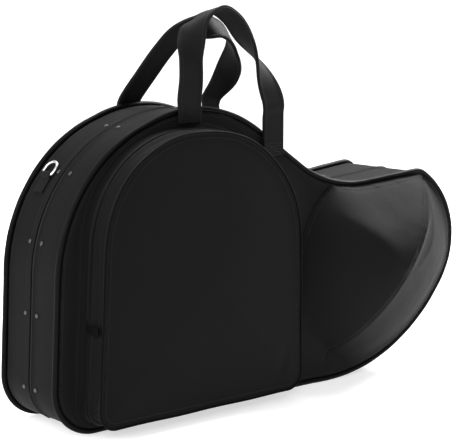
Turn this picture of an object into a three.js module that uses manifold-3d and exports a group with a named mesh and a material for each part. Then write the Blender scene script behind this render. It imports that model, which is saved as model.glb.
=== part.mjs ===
// A shaped case for a french horn with a fixed bell: two moulded half shells that meet at a zip
// round the side, a fabric hinge along the flat bottom, two strap handles and an arched front pocket.
// Millimetres. +X runs to the bell end, the front with the pocket faces -Y, +Z is up.
import * as THREE from "three";
import { mergeVertices } from "three/addons/utils/BufferGeometryUtils.js";
import Module from "manifold-3d";

const wasm = await Module();
wasm.setup();

// General clearances
const TOUCH_GAP = 0.35;
const SOFT_GAP = 0.8;
const CUT_OVERRUN = 60;
const FACET_SLACK = 0.001;
const LONG_RING = 20;
const CURVE_STEPS = 6;
const STEEP_SHARE = 0.7;

// Outline of the rim, seen from the front: straight stretches joined by tangent arcs
const CASE_HEIGHT = 420;
const BASE_LEFT_X = -368;
const BASE_LEFT_RADIUS = 64;
const SHOULDER_X = -350;
const SHOULDER_Z = 352;
const SHOULDER_RADIUS = 219;
const CROWN_X = -103;
const CROWN_APEX_Z = 444;
const CROWN_RADIUS = 205;
const SADDLE_X = 121;
const SADDLE_Z = 291;
const SADDLE_RADIUS = 185;
const BELL_TOP_X = 298;
const BELL_TOP_Z = 307;
const BELL_TOP_RADIUS = 34;
const BELL_END_X = 412;
const BELL_END_Z = 222;
const BELL_END_RADIUS = 122;
const BASE_RIGHT_X = 252;
const BASE_RIGHT_RADIUS = 275;
const ARC_STEPS_ROUND = 9;
const ARC_STEPS_TIGHT = 5;
const BASE_PARTS = 9;
const SIDE_PARTS = 2;

// Depth of the side walls, from the zip to each rim
const BODY_HALF_DEPTH = 61;
const BELL_HALF_DEPTH = 84;
const FLARE_START_X = 72;
const FLARE_END_X = 364;

// The faces: a crowned body panel, a bell panel that swells past a curved seam up to the half circle of
// the bell's mouth, and a crescent that falls from the mouth to the rim
const BODY_CROWN = 9;
const BODY_CROWN_REACH = 90;
const BELL_SEAM_X = 206;
const BELL_SEAM_Z = 158;
const BELL_SEAM_RADIUS = 160;
const MOUTH_RADIUS = 170;
const MOUTH_X = 214;
const MOUTH_Z = 168;
const MOUTH_TURN_DEG = 52.6;
const MOUTH_BOW = 29;
const ROLL_REACH = 125;
const ROLL_RISE = 100;
const CORE_LEFT_X = -160;
const CORE_LEFT_Z = 210;
const CORE_RIGHT_X = 165;
const CORE_RIGHT_Z = 198;
const FACE_RING_SHARES = [0.36, 0.72];
const CORE_RING_SHARE = 0.93;
const CREASE_SHARES = [0.17, 0.86];
const CREASE_STEP_SHARE = 0.005;

// Rim binding and the step in the shell that it is sewn into
const BINDING_RADIUS = 4;
const BINDING_SIDES = 8;
const BINDING_PROUD = 6;
const RIM_STEP = 2.4;
const RIM_RISE = 2;

// Shell and lining
const SHELL_WALL = 6;
const FACE_WALL = 9;
const LINING_WALL = 5;
const LINING_SETBACK = 3;

// Zip round the side
const TAPE_WIDTH = 19;
const TAPE_THICKNESS = 1.2;
const COIL_WIDTH = 2.6;
const COIL_HEIGHT = 1.3;
const ZIP_START_X = -330;
const ZIP_END_X = 236;

// Zip sliders and pulls
const SLIDER_LENGTH = 13;
const SLIDER_WIDTH = 10;
const SLIDER_PLATE = 1.6;
const SLIDER_BRIDGE_HEIGHT = 4.4;
const SLIDER_BRIDGE_WIDTH = 3;
const SLIDER_BRIDGE_WALL = 1.3;
const PULL_LENGTH = 30;
const PULL_WIDTH = 9;
const PULL_THICKNESS = 1.6;
const PULL_EYE_WALL = 1.6;
const PULL_TILT_DEG = 4;
const SLIDER_SPACING = 15;
const SLIDER_PLACE_DEG = 3;

// Rivet heads beside the zip
const RIVET_RADIUS = 4.2;
const RIVET_HEIGHT = 1.6;
const RIVET_OFFSET = 13.5;
const RIVET_PITCH = 97;
const RIVET_START = 48;
const RIVET_SIDES = 8;
const RIVET_SHOULDER_SHARES = [0.8, 0.7];
const RIVET_COUNT = 8;

// Fabric hinge along the bottom
const SPINE_THICKNESS = 2.4;
const SPINE_LEAF_WIDTH = 17;
const SPINE_HALF_GAP = 0.4;
const SPINE_INSET = 8;

// D-rings and their webbing tabs
const RING_WIDTH = 21;
const RING_REACH = 20;
const RING_WIRE = 1.4;
const RING_SIDES = 8;
const RING_ARC_STEPS = 12;
const TAB_WIDTH = 20;
const TAB_LENGTH = 27;
const TAB_THICKNESS = 2.6;
const TAB_FOLD_WALL = 1.6;
const TAB_BORE_GAP = 0.5;
const TAB_DEPTH = 31;
const RING_LEAN_DEG = -5;
const LEFT_RING_Z = 332;
const RIGHT_RING_Z = 236;

// Strap handles
const STRAP_WIDTH = 38;
const STRAP_THICKNESS = 5;
const HANDLE_LEFT_X = -144;
const HANDLE_RIGHT_X = 5;
const HANDLE_PIVOT_DROP = 4;
const HANDLE_STAND_OFF = 4.6;
const ANCHOR_LEFT_DROP = 15;
const ANCHOR_RIGHT_DROP = 70;
const ANCHOR_STEP = 14;
const STRAP_STEPS = 26;
const TIP_SHARES = [[1, 0.3], [0.8, 0.7]];
const TWIST_SHARES = [0.22, 0.42];
const FRONT_HANDLE_HEIGHT = 137;
const FRONT_HANDLE_LEAN_DEG = 9;
const BACK_HANDLE_HEIGHT = 123;
const BACK_HANDLE_LEAN_DEG = 32;

// Front pocket: an arch of two big arcs on a straight base
const POCKET_BASE_Z = 16;
const POCKET_BASE_LEFT_X = -329;
const POCKET_LEFT_X = -307;
const POCKET_RIGHT_X = 19;
const POCKET_BASE_RIGHT_X = 22;
const POCKET_TOP_Z = 392;
const POCKET_BASE_RADIUS = 26;
const POCKET_LEFT_RADIUS = 150;
const POCKET_RIGHT_RADIUS = 165;
const POCKET_DEPTH = 40;
const POCKET_WALL = 2.4;
const POCKET_CROWN = 9;
const POCKET_EDGE_ROUND = 7;
const POCKET_EDGE_SHARE = 0.3;
const POCKET_SEAT_GAP = 1.3;
const POCKET_ARC_STEPS_LARGE = 12;
const POCKET_ARC_STEPS_SMALL = 4;
const POCKET_REAR_WIDTH = 12;
const POCKET_BASE_PARTS = 6;
const POCKET_SIDE_PARTS = 5;
const POCKET_SPLIT_Z = 152;
const POCKET_RING_SHARES = [0.4, 0.72];
const POCKET_CORE_SHARE = 0.9;
const POCKET_ZIP_WIDTH = 7;
const POCKET_TAB_HEIGHT = 11;
const POCKET_TAB_WIDTH = 27;
const POCKET_TAB_THICKNESS = 1.6;
const POCKET_SLIDER_RISE = 24;

// Inside
const FLOOR_SHARES = [0, 0.25, 0.5, 0.75, 1];
const FOOT_REACH = 34;
const BOX_LEFT_X = 20;
const BOX_LENGTH = 104;
const BOX_HEIGHT = 46;
const BOX_DEPTH = 42;
const BOX_WALL = 4;
const BOX_BASE_Z = 34;
const BOX_LID_THICKNESS = 4;
const BOX_PULL_LENGTH = 18;
const BOX_PULL_REACH = 8;
const BOX_PULL_THICKNESS = 2;
const MOUTHPIECE_BLOCK_LENGTH = 92;
const MOUTHPIECE_BLOCK_HEIGHT = 46;
const MOUTHPIECE_BLOCK_DEPTH = 44;
const MOUTHPIECE_BORE_RADIUS = 14;
const MOUTHPIECE_TAPER_SHARE = 0.8;
const MOUTHPIECE_SIDES = 16;
const MOUTHPIECE_PLACE_SHARES = [0.25, 0.75];
const MOUTHPIECE_FLOOR = 6;
const ISLAND_X = -172;
const ISLAND_Z = 226;
const ISLAND_LENGTH = 116;
const ISLAND_HEIGHT = 82;
const ISLAND_DEPTH = 34;
const ISLAND_ROUND = 30;
const NECK_X = 92;
const NECK_Z = 196;
const NECK_BLOCK_LENGTH = 34;
const NECK_BLOCK_HEIGHT = 128;
const NECK_BLOCK_DEPTH = 46;
const NECK_RADIUS = 42;
const NECK_DIP_SHARE = 0.75;
const NECK_FULL_SHARE = 0.8;
const NECK_BLOCK_TURN_DEG = -22;
const PAD_X = -172;
const PAD_Z = 226;
const PAD_LENGTH = 170;
const PAD_HEIGHT = 130;
const PAD_DEPTH = 31;
const PAD_CORNER_SHARE = 0.33;
const PAD_LEVEL_SHARES = [
  [0.04, 0], [0.015, 0.16], [0, 0.4], [0.015, 0.64], [0.07, 0.83], [0.18, 0.94], [0.32, 1],
];

const radians = THREE.MathUtils.degToRad;

// Materials
function finish(color, roughness, metalness = 0) {
  return new THREE.MeshStandardMaterial({ color, roughness, metalness });
}
const shellFabric = finish(0x1a1a1c, 0.85);
const pocketFabric = finish(0x151517, 0.82);
const strapFabric = finish(0x131315, 0.8);
const bindingVinyl = finish(0x0b0b0c, 0.5);
const zipBlack = finish(0x0d0d0e, 0.6);
const darkMetal = finish(0x2b2b2e, 0.4, 0.9);
const nickel = finish(0xc4c6ca, 0.22, 1);
const plush = finish(0x202126, 0.95);
const woodFibre = finish(0x2a2622, 0.8);

// A closed solid from rings of equally many points. Open stacks are capped, loops are joined up.
// Each four-sided patch is split along its shorter diagonal, so that parallel skins split alike.
function solidFromRings(rings, isLoop = false) {
  const count = rings[0].length;
  const corners = rings.flat();
  const positions = corners.flatMap((point) => [point.x, point.y, point.z]);
  const faces = [];
  const spans = isLoop ? rings.length : rings.length - 1;
  for (let ring = 0; ring < spans; ring += 1) {
    const here = ring * count;
    const next = ((ring + 1) % rings.length) * count;
    for (let k = 0; k < count; k += 1) {
      const k2 = (k + 1) % count;
      const rising = corners[here + k].distanceTo(corners[next + k2]);
      const falling = corners[here + k2].distanceTo(corners[next + k]);
      if (rising <= falling) {
        faces.push(here + k, here + k2, next + k2, here + k, next + k2, next + k);
      } else {
        faces.push(here + k, here + k2, next + k, here + k2, next + k2, next + k);
      }
    }
  }
  if (!isLoop) {
    faces.push(...capFaces(rings[0], 0, true));
    faces.push(...capFaces(rings.at(-1), (rings.length - 1) * count, false));
  }
  const geometry = new THREE.BufferGeometry();
  geometry.setAttribute("position", new THREE.Float32BufferAttribute(positions, 3));
  geometry.setIndex(faces);
  return outward(geometry);
}

// A long ring is closed by short stitches between its upper and lower run, so that a curved face
// stays curved there
function stitchedCap(ring) {
  const xs = ring.map((point) => point.x);
  const start = xs.indexOf(Math.min(...xs));
  const end = xs.indexOf(Math.max(...xs));
  const count = ring.length;
  const forwardCount = ((end - start + count) % count) + 1;
  const backwardCount = ((start - end + count) % count) + 1;
  const forward = Array.from({ length: forwardCount }, (_, k) => (start + k) % count);
  const backward = Array.from({ length: backwardCount }, (_, k) => (start - k + count) % count);
  const triangles = [];
  let i = 0;
  let j = 0;
  while (i < forward.length - 1 || j < backward.length - 1) {
    const nextForward = i < forward.length - 1 ? xs[forward[i + 1]] : Infinity;
    const nextBackward = j < backward.length - 1 ? xs[backward[j + 1]] : Infinity;
    if (nextForward <= nextBackward) {
      triangles.push([forward[i], forward[i + 1], backward[j]]);
      i += 1;
    } else {
      triangles.push([forward[i], backward[j + 1], backward[j]]);
      j += 1;
    }
  }
  return triangles.filter(([a, b, c]) => a !== b && b !== c && a !== c);
}

// A short ring is closed in the plane that it fills best
function capFaces(ring, offset, isFlipped) {
  const triangles = ring.length > LONG_RING ? stitchedCap(ring) : flatCap(ring);
  return triangles.flatMap(([a, b, c]) => (isFlipped ? [a, c, b] : [a, b, c]).map((k) => k + offset));
}

function flatCap(ring) {
  const normal = new THREE.Vector3();
  ring.forEach((point, k) => {
    const next = ring[(k + 1) % ring.length];
    normal.x += (point.y - next.y) * (point.z + next.z);
    normal.y += (point.z - next.z) * (point.x + next.x);
    normal.z += (point.x - next.x) * (point.y + next.y);
  });
  normal.normalize();
  const side = Math.abs(normal.x) > STEEP_SHARE ? new THREE.Vector3(0, 1, 0) : new THREE.Vector3(1, 0, 0);
  const across = new THREE.Vector3().crossVectors(normal, side).normalize();
  const along = new THREE.Vector3().crossVectors(across, normal).normalize();
  const flat = ring.map((point) => new THREE.Vector2(point.dot(along), point.dot(across)));
  return THREE.ShapeUtils.triangulateShape(flat, []);
}

function signedVolume(geometry) {
  const at = geometry.getAttribute("position");
  const order = geometry.index.array;
  let volume = 0;
  const a = new THREE.Vector3();
  const b = new THREE.Vector3();
  const c = new THREE.Vector3();
  for (let k = 0; k < order.length; k += 3) {
    a.fromBufferAttribute(at, order[k]);
    b.fromBufferAttribute(at, order[k + 1]);
    c.fromBufferAttribute(at, order[k + 2]);
    volume += a.dot(b.cross(c)) / 6;
  }
  return volume;
}

function outward(geometry) {
  if (signedVolume(geometry) < 0) {
    const order = geometry.index.array;
    for (let k = 0; k < order.length; k += 3) {
      [order[k + 1], order[k + 2]] = [order[k + 2], order[k + 1]];
    }
  }
  return geometry;
}

function welded(geometry) {
  const bare = geometry.clone();
  bare.deleteAttribute("normal");
  bare.deleteAttribute("uv");
  return outward(mergeVertices(bare));
}

function toManifold(geometry) {
  const joined = welded(geometry);
  return new wasm.Manifold(new wasm.Mesh({
    numProp: 3,
    vertProperties: new Float32Array(joined.getAttribute("position").array),
    triVerts: new Uint32Array(joined.index.array),
  }));
}

function fromManifold(solid) {
  const mesh = solid.getMesh();
  const geometry = new THREE.BufferGeometry();
  geometry.setAttribute("position", new THREE.Float32BufferAttribute(mesh.vertProperties, 3));
  geometry.setIndex([...mesh.triVerts]);
  return geometry;
}

// Outline corners, anticlockwise from the lower left: x, z, radius, steps of the arc, and the
// number of parts in the straight stretch that follows it
const caseCorners = [
  [BASE_LEFT_X, 0, BASE_LEFT_RADIUS, ARC_STEPS_TIGHT, BASE_PARTS],
  [BASE_RIGHT_X, 0, BASE_RIGHT_RADIUS, ARC_STEPS_ROUND, 1],
  [BELL_END_X, BELL_END_Z, BELL_END_RADIUS, ARC_STEPS_ROUND, 1],
  [BELL_TOP_X, BELL_TOP_Z, BELL_TOP_RADIUS, ARC_STEPS_TIGHT, 2],
  [SADDLE_X, SADDLE_Z, SADDLE_RADIUS, ARC_STEPS_ROUND, 1],
  [CROWN_X, CROWN_APEX_Z, CROWN_RADIUS, ARC_STEPS_ROUND, 1],
  [SHOULDER_X, SHOULDER_Z, SHOULDER_RADIUS, ARC_STEPS_ROUND, SIDE_PARTS],
];

const pocketCorners = [
  [POCKET_BASE_LEFT_X, POCKET_BASE_Z, POCKET_BASE_RADIUS, POCKET_ARC_STEPS_SMALL, POCKET_BASE_PARTS],
  [POCKET_BASE_RIGHT_X, POCKET_BASE_Z, POCKET_BASE_RADIUS, POCKET_ARC_STEPS_SMALL, POCKET_SIDE_PARTS],
  [POCKET_RIGHT_X, POCKET_TOP_Z, POCKET_RIGHT_RADIUS, POCKET_ARC_STEPS_LARGE, 1],
  [POCKET_LEFT_X, POCKET_TOP_Z, POCKET_LEFT_RADIUS, POCKET_ARC_STEPS_LARGE, POCKET_SIDE_PARTS],
];

// Moves every edge of a corner list inwards by the inset and trims the radii to match
function insetCorners(corners, inset) {
  const edges = corners.map((corner, k) => {
    const next = corners[(k + 1) % corners.length];
    const direction = new THREE.Vector2(next[0] - corner[0], next[1] - corner[1]).normalize();
    const inward = new THREE.Vector2(-direction.y, direction.x);
    return { start: new THREE.Vector2(corner[0], corner[1]).addScaledVector(inward, inset), direction };
  });
  return corners.map((corner, k) => {
    const before = edges[(k + corners.length - 1) % corners.length];
    const after = edges[k];
    const turn = before.direction.cross(after.direction);
    const reach = after.start.clone().sub(before.start).cross(after.direction) / turn;
    const place = before.start.clone().addScaledVector(before.direction, reach);
    return [place.x, place.y, corner[2] - Math.sign(turn) * inset, corner[3], corner[4], turn];
  });
}

// Points of the rounded outline, with the centre of each corner's arc kept beside them
function roundedOutline(corners, inset = 0) {
  const moved = insetCorners(corners, inset);
  const arcs = moved.map(([x, z, radius, steps, parts, turn], k) => {
    const here = new THREE.Vector2(x, z);
    const before = moved[(k + moved.length - 1) % moved.length];
    const after = moved[(k + 1) % moved.length];
    const back = new THREE.Vector2(before[0], before[1]).sub(here).normalize();
    const on = new THREE.Vector2(after[0], after[1]).sub(here).normalize();
    const halfAngle = Math.acos(back.dot(on)) / 2;
    const bisector = back.clone().add(on).normalize();
    const centre = here.clone().addScaledVector(bisector, radius / Math.sin(halfAngle));
    const start = here.clone().addScaledVector(back, radius / Math.tan(halfAngle)).sub(centre);
    const sweep = Math.sign(turn) * (Math.PI - 2 * halfAngle);
    const arc = Array.from({ length: steps + 1 }, (_, step) => start.clone()
      .rotateAround(new THREE.Vector2(), (sweep * step) / steps).add(centre));
    return { centre, radius, startAngle: start.angle(), sweep, arc, parts };
  });
  const points = arcs.flatMap(({ arc, parts }, k) => {
    const next = arcs[(k + 1) % arcs.length].arc[0];
    const straight = Array.from({ length: parts - 1 }, (_, part) => arc.at(-1).clone()
      .lerp(next, (part + 1) / parts));
    return [...arc, ...straight];
  });
  return { points, arcs };
}

// The crown's corner is set so that the top arc reaches the case's height
function reachOf(points, axis) {
  const values = points.map((point) => point[axis]);
  return { low: Math.min(...values), high: Math.max(...values) };
}
const drawnHeight = reachOf(roundedOutline(caseCorners).points, "y").high;
caseCorners[5][1] += CASE_HEIGHT - drawnHeight;
const rim = roundedOutline(caseCorners).points;
const rimReach = reachOf(rim, "x");
const CENTRE_SHIFT = (rimReach.low + rimReach.high) / 2;

// Half the depth of the case at the rim
function rimDepth(x) {
  const share = THREE.MathUtils.clamp((x - FLARE_START_X) / (FLARE_END_X - FLARE_START_X), 0, 1);
  return THREE.MathUtils.lerp(BODY_HALF_DEPTH, BELL_HALF_DEPTH, share);
}

function distanceToRim(x, z) {
  let nearest = Infinity;
  rim.forEach((start, k) => {
    const end = rim[(k + 1) % rim.length];
    const run = end.clone().sub(start);
    const away = new THREE.Vector2(x, z).sub(start);
    const share = THREE.MathUtils.clamp(away.dot(run) / run.lengthSq(), 0, 1);
    nearest = Math.min(nearest, away.addScaledVector(run, -share).length());
  });
  return nearest;
}

// Where a place lies beside the bell's mouth: how far along its chord, and how far beyond it, which is
// more than 0 on the crescent. The chord is bowed a little towards the body
const mouthTurn = radians(MOUTH_TURN_DEG);
const mouthChord = new THREE.Vector2(Math.cos(mouthTurn), Math.sin(mouthTurn));
function besideMouth(x, z) {
  const away = new THREE.Vector2(x - MOUTH_X, z - MOUTH_Z);
  const along = away.dot(mouthChord);
  const bow = MOUTH_BOW * Math.max(1 - (along / MOUTH_RADIUS) ** 2, 0);
  return { along, beyond: away.cross(mouthChord) + bow };
}

// The face climbs from the crowned panel to the half circle over the mouth: in a quarter wave from the
// curved seam, and straight from the rim of the crescent. It is rounded over to every rim
function faceRise(x, z) {
  const distance = distanceToRim(x, z);
  const crown = BODY_CROWN * THREE.MathUtils.smoothstep(distance, 0, BODY_CROWN_REACH);
  const { along, beyond } = besideMouth(x, z);
  const mouthDepth = Math.sqrt(Math.max(MOUTH_RADIUS ** 2 - along ** 2, 0));
  const mouth = Math.max(mouthDepth - rimDepth(x) - RIM_RISE, crown);
  const seamDistance = Math.hypot(Math.min(x - BELL_SEAM_X, 0), z - BELL_SEAM_Z);
  const insideSeam = Math.max(BELL_SEAM_RADIUS - seamDistance, 0);
  const panelShare = insideSeam / Math.max(insideSeam - beyond, TOUCH_GAP);
  const crescentShare = distance / Math.max(distance + beyond, TOUCH_GAP);
  const share = beyond > 0 ? crescentShare : Math.sin((panelShare * Math.PI) / 2);
  const rolled = ROLL_RISE * Math.sin((Math.PI / 2) * Math.min(distance / ROLL_REACH, 1));
  return Math.min(THREE.MathUtils.lerp(crown, mouth, share), Math.max(rolled, crown));
}

function faceDepth(x, z) {
  return rimDepth(x) + RIM_RISE + faceRise(x, z);
}

// Each rim point has a partner on a line through the middle of the case
function corePoint(x) {
  const share = (x - rimReach.low) / (rimReach.high - rimReach.low);
  return new THREE.Vector2(
    THREE.MathUtils.lerp(CORE_LEFT_X, CORE_RIGHT_X, share),
    THREE.MathUtils.lerp(CORE_LEFT_Z, CORE_RIGHT_Z, share),
  );
}

// Share of the way to the core where the crescent ends at the mouth. Elsewhere it is the roll's share
function creaseShare(point) {
  const [low, high] = CREASE_SHARES;
  for (let share = low; share < high; share += CREASE_STEP_SHARE) {
    const at = point.clone().lerp(corePoint(point.x), share);
    if (besideMouth(at.x, at.y).beyond <= 0) {
      return share;
    }
  }
  return high;
}

const faceStart = roundedOutline(caseCorners, BINDING_PROUD + RIM_STEP).points;
const creaseShares = faceStart.map(creaseShare);

function ringAt(points, depthAt, side) {
  return points.map((point) => new THREE.Vector3(point.x, side * depthAt(point.x, point.y), point.y));
}

// One skin of a half shell, from the zip to the middle of the face, as rings
function skinRings(side, wallInset, stepInset, seamDepth, faceInset) {
  const wall = roundedOutline(caseCorners, wallInset).points;
  const corner = roundedOutline(caseCorners, stepInset).points;
  const towards = (share) => faceStart.map((point, k) => {
    const whole = THREE.MathUtils.lerp(creaseShares[k], CORE_RING_SHARE, share);
    return point.clone().lerp(corePoint(point.x), whole);
  });
  const rimStart = BINDING_RADIUS + TOUCH_GAP + faceInset;
  const stepStart = BINDING_RADIUS / 2 + faceInset;
  return [
    ringAt(wall, () => seamDepth, side),
    ringAt(wall, (x) => rimDepth(x) - rimStart, side),
    ringAt(corner, (x) => rimDepth(x) - stepStart, side),
    ringAt(corner, (x) => rimDepth(x) + RIM_RISE - faceInset, side),
    ringAt(towards(0), (x, z) => faceDepth(x, z) - faceInset, side),
    ...FACE_RING_SHARES.map((share) => ringAt(towards(share), (x, z) => faceDepth(x, z) - faceInset, side)),
    ringAt(towards(1), (x, z) => faceDepth(x, z) - faceInset, side),
  ];
}

// Depth of the shell's faceted face at a place, read from its own triangles
const faceRings = skinRings(1, BINDING_PROUD, BINDING_PROUD + RIM_STEP, TOUCH_GAP, 0).slice(3);
const faceSheet = solidFromRings(faceRings);
const faceTriangles = triangleList(faceSheet).filter(({ isCap }) => !isCap);

function triangleList(geometry) {
  const at = geometry.getAttribute("position");
  const order = geometry.index.array;
  const count = faceRings[0].length;
  const triangles = [];
  for (let k = 0; k < order.length; k += 3) {
    const corners = [0, 1, 2].map((j) => new THREE.Vector3().fromBufferAttribute(at, order[k + j]));
    const isCap = [0, 1, 2].every((j) => order[k + j] < count);
    triangles.push({ triangle: new THREE.Triangle(...corners), isCap });
  }
  return triangles;
}

function facetDepth(x, z) {
  const here = new THREE.Vector3(x, 0, z);
  const weights = new THREE.Vector3();
  for (const { triangle } of faceTriangles) {
    const flat = [triangle.a, triangle.b, triangle.c].map((point) => new THREE.Vector3(point.x, 0, point.z));
    const found = new THREE.Triangle(...flat).getBarycoord(here, weights);
    if (found && Math.min(weights.x, weights.y, weights.z) > -FACET_SLACK) {
      return triangle.a.y * weights.x + triangle.b.y * weights.y + triangle.c.y * weights.z;
    }
  }
  return rimDepth(x) + BINDING_RADIUS;
}

function halfShell(side) {
  const stepInset = BINDING_PROUD + RIM_STEP;
  const outer = skinRings(side, BINDING_PROUD, stepInset, TOUCH_GAP, 0);
  const inner = skinRings(side, BINDING_PROUD + SHELL_WALL, stepInset + SHELL_WALL, TOUCH_GAP, FACE_WALL);
  return solidFromRings([...outer.reverse(), ...inner]);
}

const LINING_INSET = BINDING_PROUD + SHELL_WALL + SOFT_GAP;
const LINING_FACE = FACE_WALL + SOFT_GAP;
const INNER_FACE = LINING_FACE + LINING_WALL;

function lining(side) {
  const seamDepth = TOUCH_GAP + LINING_SETBACK;
  const outer = skinRings(side, LINING_INSET, LINING_INSET + RIM_STEP, seamDepth, LINING_FACE);
  const innerInset = LINING_INSET + LINING_WALL;
  const inner = skinRings(side, innerInset, innerInset + RIM_STEP, seamDepth, INNER_FACE);
  return solidFromRings([...outer.reverse(), ...inner]);
}

// Outward normal of the outline at each point, in the XZ plane
function outlineNormals(points, isOpen = false) {
  return points.map((point, k) => {
    const last = points.length - 1;
    const before = points[isOpen ? Math.max(k - 1, 0) : (k + last) % points.length];
    const after = points[isOpen ? Math.min(k + 1, last) : (k + 1) % points.length];
    const run = after.clone().sub(before).normalize();
    return new THREE.Vector2(run.y, -run.x);
  });
}

function binding(side) {
  const centreLine = roundedOutline(caseCorners, BINDING_RADIUS).points;
  const normals = outlineNormals(centreLine);
  const corner = BINDING_RADIUS / Math.cos(Math.PI / BINDING_SIDES);
  const rings = centreLine.map((point, k) => {
    const ring = [];
    for (let step = 0; step < BINDING_SIDES; step += 1) {
      const angle = ((step + 1 / 2) * 2 * Math.PI) / BINDING_SIDES;
      const at = point.clone().addScaledVector(normals[k], corner * Math.cos(angle));
      const depth = side * rimDepth(point.x) + corner * Math.sin(angle);
      ring.push(new THREE.Vector3(at.x, depth, at.y));
    }
    return ring;
  });
  return solidFromRings(rings, true);
}

// A strip that follows a stretch of an outline: its section is given as [height, depth] pairs
function sweepStrip(points, section) {
  const normals = outlineNormals(points, true);
  const rings = points.map((point, k) => section.map(([height, depth]) => {
    const at = point.clone().addScaledVector(normals[k], height);
    return new THREE.Vector3(at.x, depth, at.y);
  }));
  return solidFromRings(rings);
}

// The zip runs from the lower right, over the top, to the lower left
const wallLine = roundedOutline(caseCorners, BINDING_PROUD).points;
const lowerLeftArc = wallLine.slice(0, ARC_STEPS_TIGHT + 1);
const zipRun = [
  ...wallLine.slice(lowerLeftArc.length).filter((point) => point.y > BASE_LEFT_RADIUS || point.x > ZIP_END_X),
  ...lowerLeftArc.filter((point) => point.x < ZIP_START_X),
];

const TAPE_TOP = TOUCH_GAP + TAPE_THICKNESS;
const COIL_TOP = TAPE_TOP + COIL_HEIGHT;

function zipTape(side) {
  const section = [
    [TOUCH_GAP, side * TOUCH_GAP],
    [COIL_TOP, side * TOUCH_GAP],
    [COIL_TOP, side * COIL_WIDTH],
    [TAPE_TOP, side * COIL_WIDTH],
    [TAPE_TOP, side * TAPE_WIDTH],
    [TOUCH_GAP, side * TAPE_WIDTH],
  ];
  return sweepStrip(zipRun, section);
}

// Place and heading at a distance along a run of points
function placeAlong(points, distance) {
  let left = distance;
  for (let k = 0; k + 1 < points.length; k += 1) {
    const span = points[k + 1].distanceTo(points[k]);
    if (left <= span) {
      const run = points[k + 1].clone().sub(points[k]).normalize();
      const place = points[k].clone().addScaledVector(run, left);
      return { place, normal: new THREE.Vector2(run.y, -run.x) };
    }
    left -= span;
  }
  return null;
}

function rivetHead() {
  const dome = new THREE.LatheGeometry([
    new THREE.Vector2(0, 0),
    new THREE.Vector2(RIVET_RADIUS, 0),
    new THREE.Vector2(RIVET_RADIUS * RIVET_SHOULDER_SHARES[0], RIVET_HEIGHT * RIVET_SHOULDER_SHARES[1]),
    new THREE.Vector2(0, RIVET_HEIGHT),
  ], RIVET_SIDES);
  return welded(dome);
}

function upTo(normal) {
  const target = new THREE.Vector3(normal.x, 0, normal.y);
  return new THREE.Quaternion().setFromUnitVectors(new THREE.Vector3(0, 1, 0), target);
}

// Rivet heads stand on the tape at an even pitch, from the lower left up and over the top
function rivetHeads(side) {
  const fromLeft = [...zipRun].reverse();
  return Array.from({ length: RIVET_COUNT }, (_, k) => {
    const { place, normal } = placeAlong(fromLeft, RIVET_START + k * RIVET_PITCH);
    const out = normal.clone().negate();
    const seat = place.clone().addScaledVector(out, TAPE_TOP + TOUCH_GAP);
    return { seat: new THREE.Vector3(seat.x, side * RIVET_OFFSET, seat.y), turn: upTo(out) };
  });
}

// Extrudes a shape and turns it so that the shape lies in XZ and the thickness runs along +Y
function extrudeAcross(shape, thickness) {
  const settings = { depth: thickness, bevelEnabled: false, curveSegments: CURVE_STEPS };
  const solid = new THREE.ExtrudeGeometry(shape, settings);
  solid.rotateX(Math.PI / 2);
  solid.translate(0, thickness, 0);
  return welded(solid);
}

function rectangle(left, bottom, right, top) {
  const shape = new THREE.Shape();
  shape.moveTo(left, bottom);
  shape.lineTo(right, bottom);
  shape.lineTo(right, top);
  shape.lineTo(left, top);
  shape.closePath();
  return shape;
}

function roundedRectangle(length, height, radius) {
  const shape = new THREE.Shape();
  const x = length / 2 - radius;
  const z = height / 2 - radius;
  shape.absarc(x, z, radius, 0, Math.PI / 2);
  shape.absarc(-x, z, radius, Math.PI / 2, Math.PI);
  shape.absarc(-x, -z, radius, Math.PI, Math.PI * 1.5);
  shape.absarc(x, -z, radius, Math.PI * 1.5, Math.PI * 2);
  return shape;
}

// Leaf of the fabric hinge: from the zip side of the seam to its sewn edge
const baseLeft = BASE_LEFT_X + BASE_LEFT_RADIUS + SPINE_INSET;
const baseRight = wallLine.filter((point) => point.y < BINDING_PROUD + TOUCH_GAP)
  .reduce((far, point) => Math.max(far, point.x), baseLeft) - SPINE_INSET;
const SPINE_TOP = BINDING_PROUD - TOUCH_GAP;
const HINGE_Z = SPINE_TOP - SPINE_THICKNESS;

function spineLeaf(side) {
  const leaf = extrudeAcross(rectangle(baseLeft, HINGE_Z, baseRight, SPINE_TOP), SPINE_LEAF_WIDTH);
  leaf.translate(0, SPINE_HALF_GAP, 0);
  if (side < 0) {
    leaf.rotateZ(Math.PI);
    leaf.translate(baseLeft + baseRight, 0, 0);
  }
  return leaf;
}

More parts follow.
